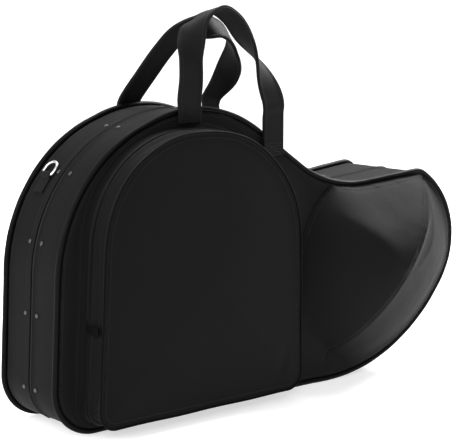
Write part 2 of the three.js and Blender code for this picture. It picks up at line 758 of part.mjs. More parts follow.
// D-ring: a bar along Y at the origin and an arch that reaches along +X
function ringSolid() {
  const half = RING_WIDTH / 2 + RING_WIRE;
  const straight = RING_REACH - half;
  const path = [new THREE.Vector2(0, -half + RING_WIRE * 2), new THREE.Vector2(0, half - RING_WIRE * 2)];
  const corner = RING_WIRE * 2;
  path.push(new THREE.Vector2(corner * (1 - Math.SQRT1_2), half - corner * (1 - Math.SQRT1_2)));
  path.push(new THREE.Vector2(corner, half));
  for (let step = 0; step <= RING_ARC_STEPS; step += 1) {
    const angle = Math.PI / 2 - (Math.PI * step) / RING_ARC_STEPS;
    path.push(new THREE.Vector2(straight + half * Math.cos(angle), half * Math.sin(angle)));
  }
  path.push(new THREE.Vector2(corner, -half));
  path.push(new THREE.Vector2(corner * (1 - Math.SQRT1_2), -half + corner * (1 - Math.SQRT1_2)));
  const normals = outlineNormals(path);
  const rings = path.map((point, k) => {
    const ring = [];
    for (let step = 0; step < RING_SIDES; step += 1) {
      const angle = (step * 2 * Math.PI) / RING_SIDES;
      const at = point.clone().addScaledVector(normals[k], RING_WIRE * Math.cos(angle));
      ring.push(new THREE.Vector3(at.x, at.y, RING_WIRE * Math.sin(angle)));
    }
    return ring;
  });
  return solidFromRings(rings, true);
}

// Webbing tab: two layers sewn flat, with the fold that holds the ring's bar at the origin
const TAB_BORE = RING_WIRE + TAB_BORE_GAP;
const TAB_EYE = TAB_BORE + TAB_FOLD_WALL;

function tabSolid() {
  const shape = new THREE.Shape();
  shape.moveTo(-TAB_LENGTH, -TAB_EYE);
  shape.lineTo(0, -TAB_EYE);
  shape.absarc(0, 0, TAB_EYE, -Math.PI / 2, Math.PI / 2, false);
  shape.lineTo(-TAB_EYE, TAB_EYE - TAB_FOLD_WALL);
  shape.lineTo(-TAB_EYE - TAB_THICKNESS, -TAB_EYE + TAB_THICKNESS);
  shape.lineTo(-TAB_LENGTH, -TAB_EYE + TAB_THICKNESS);
  shape.closePath();
  const bore = new THREE.Path();
  bore.absarc(0, 0, TAB_BORE, 0, Math.PI * 2, true);
  shape.holes.push(bore);
  const tab = extrudeAcross(shape, TAB_WIDTH);
  tab.translate(0, -TAB_WIDTH / 2, 0);
  return tab;
}

// Finds where the outline's side passes a height, going up the left or the right side
function sideAt(points, z, isLeft) {
  const isBeside = (point) => (isLeft ? point.x < SADDLE_X - BELL_SEAM_RADIUS : point.x > BELL_TOP_X);
  const ordered = points.filter(isBeside).sort((a, b) => a.y - b.y);
  const k = ordered.findIndex((point) => point.y > z);
  const low = ordered[k - 1];
  const high = ordered[k];
  const share = (z - low.y) / (high.y - low.y);
  const up = high.clone().sub(low).normalize();
  const out = new THREE.Vector2(up.y, -up.x).multiplyScalar(isLeft ? -1 : 1);
  return { place: low.clone().lerp(high, share), up, out };
}

// A group whose +X runs up the side wall, +Z points out of it and Y stays along the depth
function wallGroup(z, isLeft, lift) {
  const { place, up, out } = sideAt([...wallLine], z, isLeft);
  const group = new THREE.Group();
  const seat = place.clone().addScaledVector(out, lift);
  group.position.set(seat.x, TAB_DEPTH, seat.y);
  const xAxis = new THREE.Vector3(up.x, 0, up.y);
  const zAxis = new THREE.Vector3(out.x, 0, out.y);
  const yAxis = new THREE.Vector3().crossVectors(zAxis, xAxis);
  group.quaternion.setFromRotationMatrix(new THREE.Matrix4().makeBasis(xAxis, yAxis, zAxis));
  return group;
}

// Zip slider at the origin: the tape runs along X, the bridge stands on +Z
function sliderSolid() {
  const top = SLIDER_PLATE;
  const reach = SLIDER_LENGTH / 2;
  const bridgeHalf = SLIDER_LENGTH / 4;
  const base = extrudeAcross(rectangle(-reach, 0, reach, top), SLIDER_WIDTH);
  base.translate(0, -SLIDER_WIDTH / 2, 0);
  const arch = new THREE.Shape();
  const inner = SLIDER_BRIDGE_WALL;
  arch.moveTo(-bridgeHalf, top / 2);
  arch.lineTo(-bridgeHalf, top + SLIDER_BRIDGE_HEIGHT - inner);
  arch.lineTo(-bridgeHalf + inner, top + SLIDER_BRIDGE_HEIGHT);
  arch.lineTo(bridgeHalf - inner, top + SLIDER_BRIDGE_HEIGHT);
  arch.lineTo(bridgeHalf, top + SLIDER_BRIDGE_HEIGHT - inner);
  arch.lineTo(bridgeHalf, top / 2);
  arch.closePath();
  const eye = new THREE.Path();
  eye.moveTo(-bridgeHalf + inner, top);
  eye.lineTo(bridgeHalf - inner, top);
  eye.lineTo(bridgeHalf - inner, top + SLIDER_BRIDGE_HEIGHT - inner);
  eye.lineTo(-bridgeHalf + inner, top + SLIDER_BRIDGE_HEIGHT - inner);
  eye.closePath();
  arch.holes.push(eye);
  const bridge = extrudeAcross(arch, SLIDER_BRIDGE_WIDTH);
  bridge.translate(0, -SLIDER_BRIDGE_WIDTH / 2, 0);
  return fromManifold(toManifold(base).add(toManifold(bridge)));
}

// Pull: a plate with an eye round the bridge; the eye's bar passes under the bridge along Y
const PULL_PIVOT = SLIDER_PLATE + TOUCH_GAP + PULL_THICKNESS / 2;

function pullSolid() {
  const half = PULL_WIDTH / 2;
  const shape = new THREE.Shape();
  shape.moveTo(-PULL_THICKNESS / 2, -half);
  shape.lineTo(PULL_LENGTH - half, -half);
  shape.absarc(PULL_LENGTH - half, 0, half, -Math.PI / 2, Math.PI / 2, false);
  shape.lineTo(-PULL_THICKNESS / 2, half);
  shape.closePath();
  const eye = new THREE.Path();
  const eyeHalf = half - PULL_EYE_WALL;
  const eyeEnd = SLIDER_LENGTH / 2 + PULL_EYE_WALL;
  eye.moveTo(PULL_THICKNESS / 2, -eyeHalf);
  eye.lineTo(PULL_THICKNESS / 2, eyeHalf);
  eye.lineTo(eyeEnd, eyeHalf);
  eye.lineTo(eyeEnd, -eyeHalf);
  eye.closePath();
  shape.holes.push(eye);
  const settings = { depth: PULL_THICKNESS, bevelEnabled: false, curveSegments: CURVE_STEPS };
  const pull = new THREE.ExtrudeGeometry(shape, settings);
  pull.translate(0, 0, -PULL_THICKNESS / 2);
  return welded(pull);
}

// Strap handle in its own frame: X along the case, Z up from the pivot, Y across the loop
function strapSolid(pathPoints, twistShares) {
  const curve = new THREE.CatmullRomCurve3(pathPoints.map(([x, z]) => new THREE.Vector3(x, 0, z)));
  const half = STRAP_THICKNESS / 2;
  const rings = [];
  const ringFor = (place, heading, width, thickness, turn) => {
    const inPlane = new THREE.Vector3(heading.z, 0, -heading.x);
    const across = inPlane.clone().applyAxisAngle(heading, turn);
    const normal = new THREE.Vector3().crossVectors(heading, across);
    return [[1, 1], [-1, 1], [-1, -1], [1, -1]].map(([u, v]) => place.clone()
      .addScaledVector(across, (u * width) / 2)
      .addScaledVector(normal, (v * thickness) / 2));
  };
  const [twistStart, twistEnd] = twistShares;
  const tip = TIP_SHARES;
  const twistAt = (share) => {
    const rise = THREE.MathUtils.smoothstep(share, twistStart, twistEnd);
    const fall = THREE.MathUtils.smoothstep(1 - share, twistStart, twistEnd);
    return (Math.PI / 2) * (rise + (1 - fall));
  };
  const startHeading = curve.getTangentAt(0);
  tip.forEach(([back, thin]) => {
    const place = curve.getPointAt(0).addScaledVector(startHeading, -half * back);
    rings.push(ringFor(place, startHeading, STRAP_WIDTH, STRAP_THICKNESS * thin, 0));
  });
  for (let step = 0; step <= STRAP_STEPS; step += 1) {
    const share = step / STRAP_STEPS;
    rings.push(ringFor(curve.getPointAt(share), curve.getTangentAt(share), STRAP_WIDTH, STRAP_THICKNESS,
      twistAt(share)));
  }
  const endHeading = curve.getTangentAt(1);
  [...tip].reverse().forEach(([back, thin]) => {
    const place = curve.getPointAt(1).addScaledVector(endHeading, half * back);
    rings.push(ringFor(place, endHeading, STRAP_WIDTH, STRAP_THICKNESS * thin, Math.PI));
  });
  return solidFromRings(rings);
}

// Shares of the handle's span and height that its middle line passes
const frontHandleShares = [
  [0, 0], [0, 0.08], [0, 0.36], [0.01, 0.68], [0.13, 0.9], [0.4, 1], [0.68, 0.93], [0.83, 0.7], [0.93, 0.4],
  [1, 0.08], [1, 0],
];
const backHandleShares = [
  [0, 0], [0, 0.08], [0.03, 0.3], [0.12, 0.6], [0.27, 0.85], [0.5, 1], [0.76, 0.89], [0.93, 0.6],
  [1, 0.3], [1, 0.08], [1, 0],
];

function handlePath(shares, height) {
  const span = HANDLE_RIGHT_X - HANDLE_LEFT_X;
  return shares.map(([along, up]) => [HANDLE_LEFT_X + span * along, height * up]);
}

// Handle root: webbing sewn flat on the face, from below the pivot down to its stitched end
const handlePivotZ = CASE_HEIGHT - HANDLE_PIVOT_DROP;
const PIVOT_DEPTH = rimDepth(0) + BINDING_RADIUS + HANDLE_STAND_OFF;

function handleAnchor(x, drop, side) {
  const top = handlePivotZ - STRAP_THICKNESS / 2 - TOUCH_GAP;
  const half = STRAP_THICKNESS / 2;
  const steps = Math.max(2, Math.round(drop / ANCHOR_STEP));
  const rings = [];
  for (let step = 0; step <= steps; step += 1) {
    const z = top - (drop * step) / steps;
    const faceHere = [-1, 0, 1].map((k) => {
      const at = x + (k * STRAP_WIDTH) / 2;
      return Math.max(facetDepth(at, z), rimDepth(at) + BINDING_RADIUS);
    });
    const low = Math.max(...faceHere) + TOUCH_GAP;
    const near = Math.min(PIVOT_DEPTH - half, low);
    const inner = step === 0 ? PIVOT_DEPTH - half : Math.max(near, low);
    const outer = inner + STRAP_THICKNESS;
    rings.push([
      new THREE.Vector3(x - STRAP_WIDTH / 2, side * inner, z),
      new THREE.Vector3(x + STRAP_WIDTH / 2, side * inner, z),
      new THREE.Vector3(x + STRAP_WIDTH / 2, side * outer, z),
      new THREE.Vector3(x - STRAP_WIDTH / 2, side * outer, z),
    ]);
  }
  return solidFromRings(rings);
}

// Pocket: the rear strip seats on the face, the cover goes on from the zip to the crowned front
const pocketLine = roundedOutline(pocketCorners).points;
const pocketMiddle = new THREE.Vector2(
  (POCKET_LEFT_X + POCKET_RIGHT_X) / 2,
  (POCKET_BASE_Z + POCKET_TOP_Z) / 2,
);
const pocketFace = Math.max(...pocketLine.map((point) => facetDepth(point.x, point.y))) + TOUCH_GAP;
const POCKET_ZIP_DEPTH = pocketFace + POCKET_REAR_WIDTH;
const POCKET_FRONT_DEPTH = pocketFace + POCKET_DEPTH;

function pocketRearStrip() {
  const outer = pocketLine;
  const normals = outlineNormals(pocketLine);
  const inner = outer.map((point, k) => point.clone().addScaledVector(normals[k], -POCKET_WALL));
  const seat = (x, z) => facetDepth(x, z) + POCKET_SEAT_GAP;
  return solidFromRings([
    ringAt(outer, seat, -1),
    ringAt(outer, () => POCKET_ZIP_DEPTH - TOUCH_GAP, -1),
    ringAt(inner, () => POCKET_ZIP_DEPTH - TOUCH_GAP, -1),
    ringAt(inner, seat, -1),
  ], true);
}

function pocketSkin(inset, depthInset) {
  const edge = roundedOutline(pocketCorners, inset).points;
  const round = roundedOutline(pocketCorners, inset + POCKET_EDGE_ROUND * POCKET_EDGE_SHARE).points;
  const front = roundedOutline(pocketCorners, inset + POCKET_EDGE_ROUND).points;
  const frontDepth = POCKET_FRONT_DEPTH - depthInset;
  const crowned = (share) => ringAt(
    front.map((point) => point.clone().lerp(pocketMiddle, share)),
    () => frontDepth + POCKET_CROWN * (1 - (1 - share) ** 2),
    -1,
  );
  return [
    ringAt(edge, () => POCKET_ZIP_DEPTH + TOUCH_GAP, -1),
    ringAt(edge, () => frontDepth - POCKET_EDGE_ROUND, -1),
    ringAt(round, () => frontDepth - POCKET_EDGE_ROUND * POCKET_EDGE_SHARE, -1),
    ringAt(front, () => frontDepth, -1),
    ...POCKET_RING_SHARES.map(crowned),
    crowned(POCKET_CORE_SHARE),
  ];
}

function pocketCover() {
  const outer = pocketSkin(0, 0);
  const inner = pocketSkin(POCKET_WALL, POCKET_WALL);
  return solidFromRings([...outer.reverse(), ...inner]);
}

function cutBox(lowZ, highZ) {
  const width = POCKET_BASE_RIGHT_X - POCKET_BASE_LEFT_X + 2 * CUT_OVERRUN;
  const depth = POCKET_DEPTH * 2 + 2 * CUT_OVERRUN;
  const box = new THREE.BoxGeometry(width, depth, highZ - lowZ);
  box.translate(pocketMiddle.x, -POCKET_FRONT_DEPTH, (lowZ + highZ) / 2);
  return toManifold(box);
}

// The zip of the pocket lies on the rear strip, from end tab to end tab over the arch
const POCKET_ZIP_TOP = TOUCH_GAP + TAPE_THICKNESS;

function pocketZipTape() {
  const tabTop = POCKET_SPLIT_Z + POCKET_TAB_HEIGHT / 2 + TOUCH_GAP;
  const upper = pocketLine.filter((point) => point.y > tabTop + TOUCH_GAP);
  const start = sidePoint(pocketLine, tabTop, false);
  const end = sidePoint(pocketLine, tabTop, true);
  const low = POCKET_ZIP_DEPTH - TOUCH_GAP - POCKET_ZIP_WIDTH;
  const high = POCKET_ZIP_DEPTH - TOUCH_GAP;
  const section = [
    [TOUCH_GAP, -low],
    [POCKET_ZIP_TOP, -low],
    [POCKET_ZIP_TOP, -high],
    [TOUCH_GAP, -high],
  ];
  return sweepStrip([start, ...upper, end], section);
}

function sidePoint(points, z, isLeft) {
  const side = points.filter((point) => (isLeft ? point.x < pocketMiddle.x : point.x > pocketMiddle.x));
  const below = side.filter((point) => point.y <= z).sort((a, b) => b.y - a.y)[0];
  const above = side.filter((point) => point.y > z).sort((a, b) => a.y - b.y)[0];
  return below.clone().lerp(above, (z - below.y) / (above.y - below.y));
}

// End tab of the pocket's zip: a folded patch sewn across the side below the zip
function pocketTab(isLeft) {
  const top = POCKET_SPLIT_Z - TOUCH_GAP;
  const low = sidePoint(pocketLine, top - POCKET_TAB_HEIGHT, isLeft);
  const high = sidePoint(pocketLine, top, isLeft);
  const start = -(pocketFace + POCKET_REAR_WIDTH / 2);
  const points = isLeft ? [high, low] : [low, high];
  return sweepStrip(points, [
    [TOUCH_GAP, start],
    [TOUCH_GAP + POCKET_TAB_THICKNESS, start],
    [TOUCH_GAP + POCKET_TAB_THICKNESS, start - POCKET_TAB_WIDTH],
    [TOUCH_GAP, start - POCKET_TAB_WIDTH],
  ]);
}

// The room inside one lined half shell, a touch clear of the lining
function liningRoom(side) {
  const inset = LINING_INSET + LINING_WALL + TOUCH_GAP;
  const faceInset = INNER_FACE + TOUCH_GAP;
  return solidFromRings(skinRings(side, inset, inset + RIM_STEP, TOUCH_GAP, faceInset));
}

// A piece with an overlong foot is trimmed so that it beds on the curved lining
function bedded(geometry, side) {
  return fromManifold(toManifold(geometry).intersect(toManifold(liningRoom(side))));
}

// Depth at which pieces that stand on the lining all round their foot may begin
function trayFloor(left, bottom, right, top) {
  const depths = [];
  FLOOR_SHARES.forEach((u) => FLOOR_SHARES.forEach((v) => {
    depths.push(facetDepth(THREE.MathUtils.lerp(left, right, u), THREE.MathUtils.lerp(bottom, top, v)));
  }));
  return Math.min(...depths) - INNER_FACE - TOUCH_GAP;
}

function centredFloor(x, z, length, height) {
  return trayFloor(x - length / 2, z - height / 2, x + length / 2, z + height / 2);
}

function accessoryBox() {
  const right = BOX_LEFT_X + BOX_LENGTH;
  const top = BOX_BASE_Z + BOX_HEIGHT;
  const floor = trayFloor(BOX_LEFT_X, BOX_BASE_Z, right, top);
  const outside = extrudeAcross(rectangle(BOX_LEFT_X, BOX_BASE_Z, right, top), BOX_DEPTH + FOOT_REACH);
  const inside = rectangle(BOX_LEFT_X + BOX_WALL, BOX_BASE_Z + BOX_WALL, right - BOX_WALL, top - BOX_WALL);
  const hollow = extrudeAcross(inside, BOX_DEPTH);
  hollow.translate(0, -BOX_WALL, 0);
  const box = fromManifold(toManifold(outside).subtract(toManifold(hollow)));
  box.translate(0, floor - BOX_DEPTH, 0);
  return { box, floor, mouth: floor - BOX_DEPTH, right, top };
}

function accessoryLid(mouth, right, top) {
  const flap = extrudeAcross(rectangle(BOX_LEFT_X, BOX_BASE_Z, right, top), BOX_LID_THICKNESS);
  flap.translate(0, mouth - TOUCH_GAP - BOX_LID_THICKNESS, 0);
  const middle = (BOX_LEFT_X + right) / 2;
  const half = BOX_PULL_LENGTH / 2;
  const tongue = extrudeAcross(
    rectangle(middle - half, top - BOX_WALL, middle + half, top + BOX_PULL_REACH),
    BOX_PULL_THICKNESS,
  );
  tongue.translate(0, mouth - TOUCH_GAP - BOX_LID_THICKNESS, 0);
  return fromManifold(toManifold(flap).add(toManifold(tongue)));
}

function mouthpieceBlock() {
  const right = BOX_LEFT_X - SOFT_GAP;
  const left = right - MOUTHPIECE_BLOCK_LENGTH;
  const top = BOX_BASE_Z + MOUTHPIECE_BLOCK_HEIGHT;
  const floor = trayFloor(left, BOX_BASE_Z, right, top);
  const blockDepth = MOUTHPIECE_BLOCK_DEPTH + FOOT_REACH;
  const block = extrudeAcross(rectangle(left, BOX_BASE_Z, right, top), blockDepth);
  const sockets = MOUTHPIECE_PLACE_SHARES.map((share) => {
    const endRadius = MOUTHPIECE_BORE_RADIUS * MOUTHPIECE_TAPER_SHARE;
    const bore = new THREE.CylinderGeometry(
      MOUTHPIECE_BORE_RADIUS, endRadius, MOUTHPIECE_BLOCK_DEPTH, MOUTHPIECE_SIDES);
    bore.rotateX(Math.PI);
    const depth = MOUTHPIECE_BLOCK_DEPTH / 2 - MOUTHPIECE_FLOOR;
    bore.translate(left + MOUTHPIECE_BLOCK_LENGTH * share, depth, (BOX_BASE_Z + top) / 2);
    return toManifold(bore);
  });
  const bored = sockets.reduce((solid, bore) => solid.subtract(bore), toManifold(block));
  const geometry = fromManifold(bored);
  geometry.translate(0, floor - MOUTHPIECE_BLOCK_DEPTH, 0);
  return geometry;
}

function coilIsland() {
  const outline = roundedRectangle(ISLAND_LENGTH, ISLAND_HEIGHT, ISLAND_ROUND);
  const island = extrudeAcross(outline, ISLAND_DEPTH + FOOT_REACH);
  const floor = centredFloor(ISLAND_X, ISLAND_Z, ISLAND_LENGTH, ISLAND_HEIGHT);
  island.translate(ISLAND_X, floor - ISLAND_DEPTH, ISLAND_Z);
  return island;
}

// Neck rest: a block with a round saddle, turned to lie square to the bell's neck
function neckRest() {
  const half = NECK_BLOCK_HEIGHT / 2;
  const shape = new THREE.Shape();
  shape.moveTo(-half, -FOOT_REACH);
  shape.lineTo(half, -FOOT_REACH);
  shape.lineTo(half, NECK_BLOCK_DEPTH);
  shape.lineTo(NECK_RADIUS, NECK_BLOCK_DEPTH);
  const dip = NECK_BLOCK_DEPTH - NECK_RADIUS * NECK_DIP_SHARE;
  const full = NECK_RADIUS * NECK_FULL_SHARE;
  shape.quadraticCurveTo(full, dip, 0, dip);
  shape.quadraticCurveTo(-full, dip, -NECK_RADIUS, NECK_BLOCK_DEPTH);
  shape.lineTo(-half, NECK_BLOCK_DEPTH);
  shape.closePath();
  const settings = { depth: NECK_BLOCK_LENGTH, bevelEnabled: false, curveSegments: CURVE_STEPS };
  const block = new THREE.ExtrudeGeometry(shape, settings);
  block.translate(0, 0, -NECK_BLOCK_LENGTH / 2);
  return welded(block);
}

// A crowned pad on the lid's lining: its sides are drawn in at the foot and bulge, and its top closes
// over a crown
function crownedPad(length, height, depth) {
  const levels = PAD_LEVEL_SHARES.map(([inShare, upShare]) => [inShare * height, upShare * depth]);
  const foot = [levels[0][0], -FOOT_REACH];
  return solidFromRings([foot, ...levels].map(([inset, up]) => {
    const corner = PAD_CORNER_SHARE * height - inset / 2;
    const outline = roundedRectangle(length - 2 * inset, height - 2 * inset, corner);
    return outline.getPoints(CURVE_STEPS).slice(0, -1).map((point) => new THREE.Vector3(point.x, up, point.y));
  }));
}

// The assembly
const group = new THREE.Group();
group.position.x = -CENTRE_SHIFT;

function add(name, geometry, material, parent = group) {
  const mesh = new THREE.Mesh(geometry, material);
  mesh.name = name;
  parent.add(mesh);
  return mesh;
}

const TRAY = 1;
const LID = -1;
[["tray", TRAY], ["lid", LID]].forEach(([name, side]) => {
  add(`${name}_shell`, halfShell(side), shellFabric);
  add(`${name}_binding`, binding(side), bindingVinyl);
  add(`${name}_lining`, lining(side), plush);
  add(`${name}_zip_tape`, zipTape(side), zipBlack);
  rivetHeads(side).forEach(({ seat, turn }, k) => {
    const rivet = add(`${name}_rivet_${k + 1}`, rivetHead(), darkMetal);
    rivet.position.copy(seat);
    rivet.quaternion.copy(turn);
  });
  add(`${name}_hinge_leaf`, spineLeaf(side), shellFabric);
});

[["left", LEFT_RING_Z, true], ["right", RIGHT_RING_Z, false]].forEach(([name, z, isLeft]) => {
  const place = wallGroup(z, isLeft, TAB_EYE + TOUCH_GAP);
  group.add(place);
  add(`d_ring_tab_${name}`, tabSolid(), strapFabric, place);
  const ring = add(`d_ring_${name}`, ringSolid(), nickel, place);
  ring.rotation.y = -radians(RING_LEAN_DEG);
});

[["front", LID, frontHandleShares, FRONT_HANDLE_HEIGHT, FRONT_HANDLE_LEAN_DEG],
  ["back", TRAY, backHandleShares, BACK_HANDLE_HEIGHT, BACK_HANDLE_LEAN_DEG]].forEach(
  ([name, side, shares, height, lean]) => {
    const path = handlePath(shares, height);
    const strap = add(`${name}_handle`, strapSolid(path, TWIST_SHARES), strapFabric);
    strap.position.set(0, side * PIVOT_DEPTH, handlePivotZ);
    strap.rotation.x = side * radians(lean);
    add(`${name}_handle_anchor_left`, handleAnchor(HANDLE_LEFT_X, ANCHOR_LEFT_DROP, side), strapFabric);
    add(`${name}_handle_anchor_right`, handleAnchor(HANDLE_RIGHT_X, ANCHOR_RIGHT_DROP, side), strapFabric);
  },
);

// A slider with its pull: the pull points along the heading and the bridge stands out of the zip
function addSlider(sliderName, pullName, seat, heading, out) {
  const place = new THREE.Group();
  place.position.copy(seat);
  const across = new THREE.Vector3().crossVectors(out, heading);
  place.quaternion.setFromRotationMatrix(new THREE.Matrix4().makeBasis(heading, across, out));
  group.add(place);
  add(sliderName, sliderSolid(), darkMetal, place);
  const pull = add(pullName, pullSolid(), darkMetal, place);
  pull.position.z = PULL_PIVOT;
  pull.rotation.y = -radians(PULL_TILT_DEG);
}

// Two sliders stand on the zip in the saddle, on the arc that they run along
const saddleArc = roundedOutline(caseCorners, BINDING_PROUD).arcs[4];
[["left", 1], ["right", -1]].forEach(([name, heading]) => {
  const seatRadius = saddleArc.radius - COIL_TOP - TOUCH_GAP;
  const apart = (heading * SLIDER_SPACING) / 2 / seatRadius;
  const angle = saddleArc.startAngle + saddleArc.sweep / 2 + radians(SLIDER_PLACE_DEG) - apart;
  const out = new THREE.Vector3(-Math.cos(angle), 0, -Math.sin(angle));
  const seat = new THREE.Vector3(saddleArc.centre.x, 0, saddleArc.centre.y).addScaledVector(out, -seatRadius);
  const along = new THREE.Vector3(out.z, 0, -out.x).multiplyScalar(-heading);
  addSlider(`zip_slider_${name}`, `zip_pull_${name}`, seat, along, out);
});

// Pocket
add("pocket_rear_strip", pocketRearStrip(), pocketFabric);
const cover = toManifold(pocketCover());
const flapCut = cutBox(-CUT_OVERRUN, POCKET_SPLIT_Z + TOUCH_GAP);
const lowerCut = cutBox(POCKET_SPLIT_Z - TOUCH_GAP, POCKET_TOP_Z + CUT_OVERRUN);
add("pocket_flap", fromManifold(cover.subtract(flapCut)), pocketFabric);
add("pocket_lower", fromManifold(cover.subtract(lowerCut)), pocketFabric);
add("pocket_zip_tape", pocketZipTape(), zipBlack);
add("pocket_zip_tab_left", pocketTab(true), strapFabric);
add("pocket_zip_tab_right", pocketTab(false), strapFabric);
const pocketSliderZ = POCKET_SPLIT_Z + POCKET_SLIDER_RISE;
const pocketSliderX = sidePoint(pocketLine, pocketSliderZ, false).x + POCKET_ZIP_TOP + SOFT_GAP;
const zipMiddle = POCKET_ZIP_DEPTH - TOUCH_GAP - POCKET_ZIP_WIDTH / 2;
const pullOuterX = pocketSliderX + PULL_PIVOT + PULL_THICKNESS;
const faceBesidePull = Math.max(
  facetDepth(pullOuterX, pocketSliderZ),
  facetDepth(pullOuterX, pocketSliderZ - PULL_LENGTH),
);
const pocketSliderY = -Math.max(zipMiddle, faceBesidePull + PULL_WIDTH / 2 + TOUCH_GAP);
addSlider(
  "pocket_zip_slider",
  "pocket_zip_pull",
  new THREE.Vector3(pocketSliderX, pocketSliderY, pocketSliderZ),
  new THREE.Vector3(0, 0, -1),
  new THREE.Vector3(1, 0, 0),
);

// Inside
const boxParts = accessoryBox();
add("accessory_box", bedded(boxParts.box, TRAY), woodFibre);
add("accessory_lid", accessoryLid(boxParts.mouth, boxParts.right, boxParts.top), plush);
add("mouthpiece_block", bedded(mouthpieceBlock(), TRAY), plush);
add("coil_island", bedded(coilIsland(), TRAY), plush);

const neckReach = NECK_BLOCK_HEIGHT / 2;
const neckFloor = centredFloor(NECK_X, NECK_Z, neckReach, 2 * neckReach);
const neckAxes = [new THREE.Vector3(0, 0, 1), new THREE.Vector3(0, -1, 0), new THREE.Vector3(1, 0, 0)];
const neckPlace = new THREE.Matrix4().makeBasis(...neckAxes)
  .multiply(new THREE.Matrix4().makeRotationY(radians(NECK_BLOCK_TURN_DEG)))
  .setPosition(NECK_X, neckFloor, NECK_Z);
add("neck_rest", bedded(neckRest().applyMatrix4(neckPlace), TRAY), plush);

const lidPad = crownedPad(PAD_LENGTH, PAD_HEIGHT, PAD_DEPTH);
lidPad.translate(PAD_X, -centredFloor(PAD_X, PAD_Z, PAD_LENGTH, PAD_HEIGHT), PAD_Z);
add("lid_pad", bedded(lidPad, LID), plush);

export default group;
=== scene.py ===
import math

import bmesh
import bpy
import numpy as np
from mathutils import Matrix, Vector
from mathutils.geometry import delaunay_2d_cdt


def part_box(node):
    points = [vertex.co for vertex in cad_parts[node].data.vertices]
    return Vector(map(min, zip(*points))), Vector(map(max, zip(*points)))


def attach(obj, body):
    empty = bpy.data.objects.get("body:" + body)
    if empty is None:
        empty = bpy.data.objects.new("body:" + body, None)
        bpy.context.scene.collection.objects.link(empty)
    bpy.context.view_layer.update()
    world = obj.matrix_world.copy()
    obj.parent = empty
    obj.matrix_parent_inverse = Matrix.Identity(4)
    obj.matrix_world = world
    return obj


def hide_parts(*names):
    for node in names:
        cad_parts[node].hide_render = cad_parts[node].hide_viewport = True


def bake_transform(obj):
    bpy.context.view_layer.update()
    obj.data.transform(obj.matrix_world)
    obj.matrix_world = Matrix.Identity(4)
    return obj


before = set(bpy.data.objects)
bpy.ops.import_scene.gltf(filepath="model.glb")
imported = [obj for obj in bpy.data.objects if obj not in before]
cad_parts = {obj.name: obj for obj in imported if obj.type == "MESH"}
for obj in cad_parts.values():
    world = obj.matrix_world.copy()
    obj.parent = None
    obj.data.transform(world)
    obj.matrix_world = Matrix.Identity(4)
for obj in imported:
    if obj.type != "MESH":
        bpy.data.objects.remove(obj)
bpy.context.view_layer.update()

MM = 0.001

# sizes of the case, in millimetres
CASE_HEIGHT = 420
CASE_CORNERS = [
    (-368, 0, 64),
    (252, 0, 275),
    (412, 222, 122),
    (298, 307, 34),
    (121, 291, 185),
    (-103, 444, 205),
    (-350, 352, 219),
]
CROWN_CORNER = 5
BODY_HALF_DEPTH, BELL_HALF_DEPTH = 61, 84
FLARE_START_X, FLARE_END_X = 72, 364
BODY_CROWN, BODY_CROWN_REACH = 9, 90
BELL_SEAM, BELL_SEAM_TURNS = (206, 158, 160), (88, 275)
MOUTH_MIDDLE, MOUTH_RADIUS = complex(214, 168), 170
MOUTH_TURN, MOUTH_BOW = math.radians(52.6), 29
ROLL_REACH, ROLL_RISE, ROLL_SOFTNESS = 125, 100, 32
SOFT_LOSS, SOFT_FROM, SOFT_TO = 0.85, 35, 80
LOW_RISE, FULL_RISE = 2, 14
BINDING_RADIUS, BINDING_PROUD = 4, 6
RIM_STEP, RIM_RISE = 2.4, 2
FACE_START = BINDING_PROUD + RIM_STEP
SEAM_STEP, SEAM_FROM_RIM, SEAM_FROM_SEAM = 2.8, 2.4, 4
LID, TRAY = -1, 1
half_bodies = {LID: "lid", TRAY: "tray"}

# sizes of the pocket
POCKET_CORNERS = [(-329, 16, 26), (22, 16, 26), (19, 392, 165), (-307, 392, 150)]
POCKET_LOW_CORNERS = complex(-320, 24), complex(12, 26)
POCKET_SIDE_DEPTH, POCKET_COVER_DEPTH, POCKET_FRONT_DEPTH = 84.1, 85, 112.5
POCKET_CROWN, POCKET_CROWN_REACH = 8.6, 150
POCKET_FOLD_Z, POCKET_SEWN_Z = 152, 106
POCKET_EDGE_INSET = 6

# sizes of the handles
PIVOT_DEPTH, PIVOT_Z = 69.6, 416
STRAP_WIDTH, STRAP_THICKNESS = 38, 5
HANDLE_LEFT_X, HANDLE_RIGHT_X = -144, 5
DROPS = (15, 70)

# spacing of points and stitches
SURFACE_STEP, FACE_SPACING = 3.2, 4.4
STITCH_PITCH = 4.4


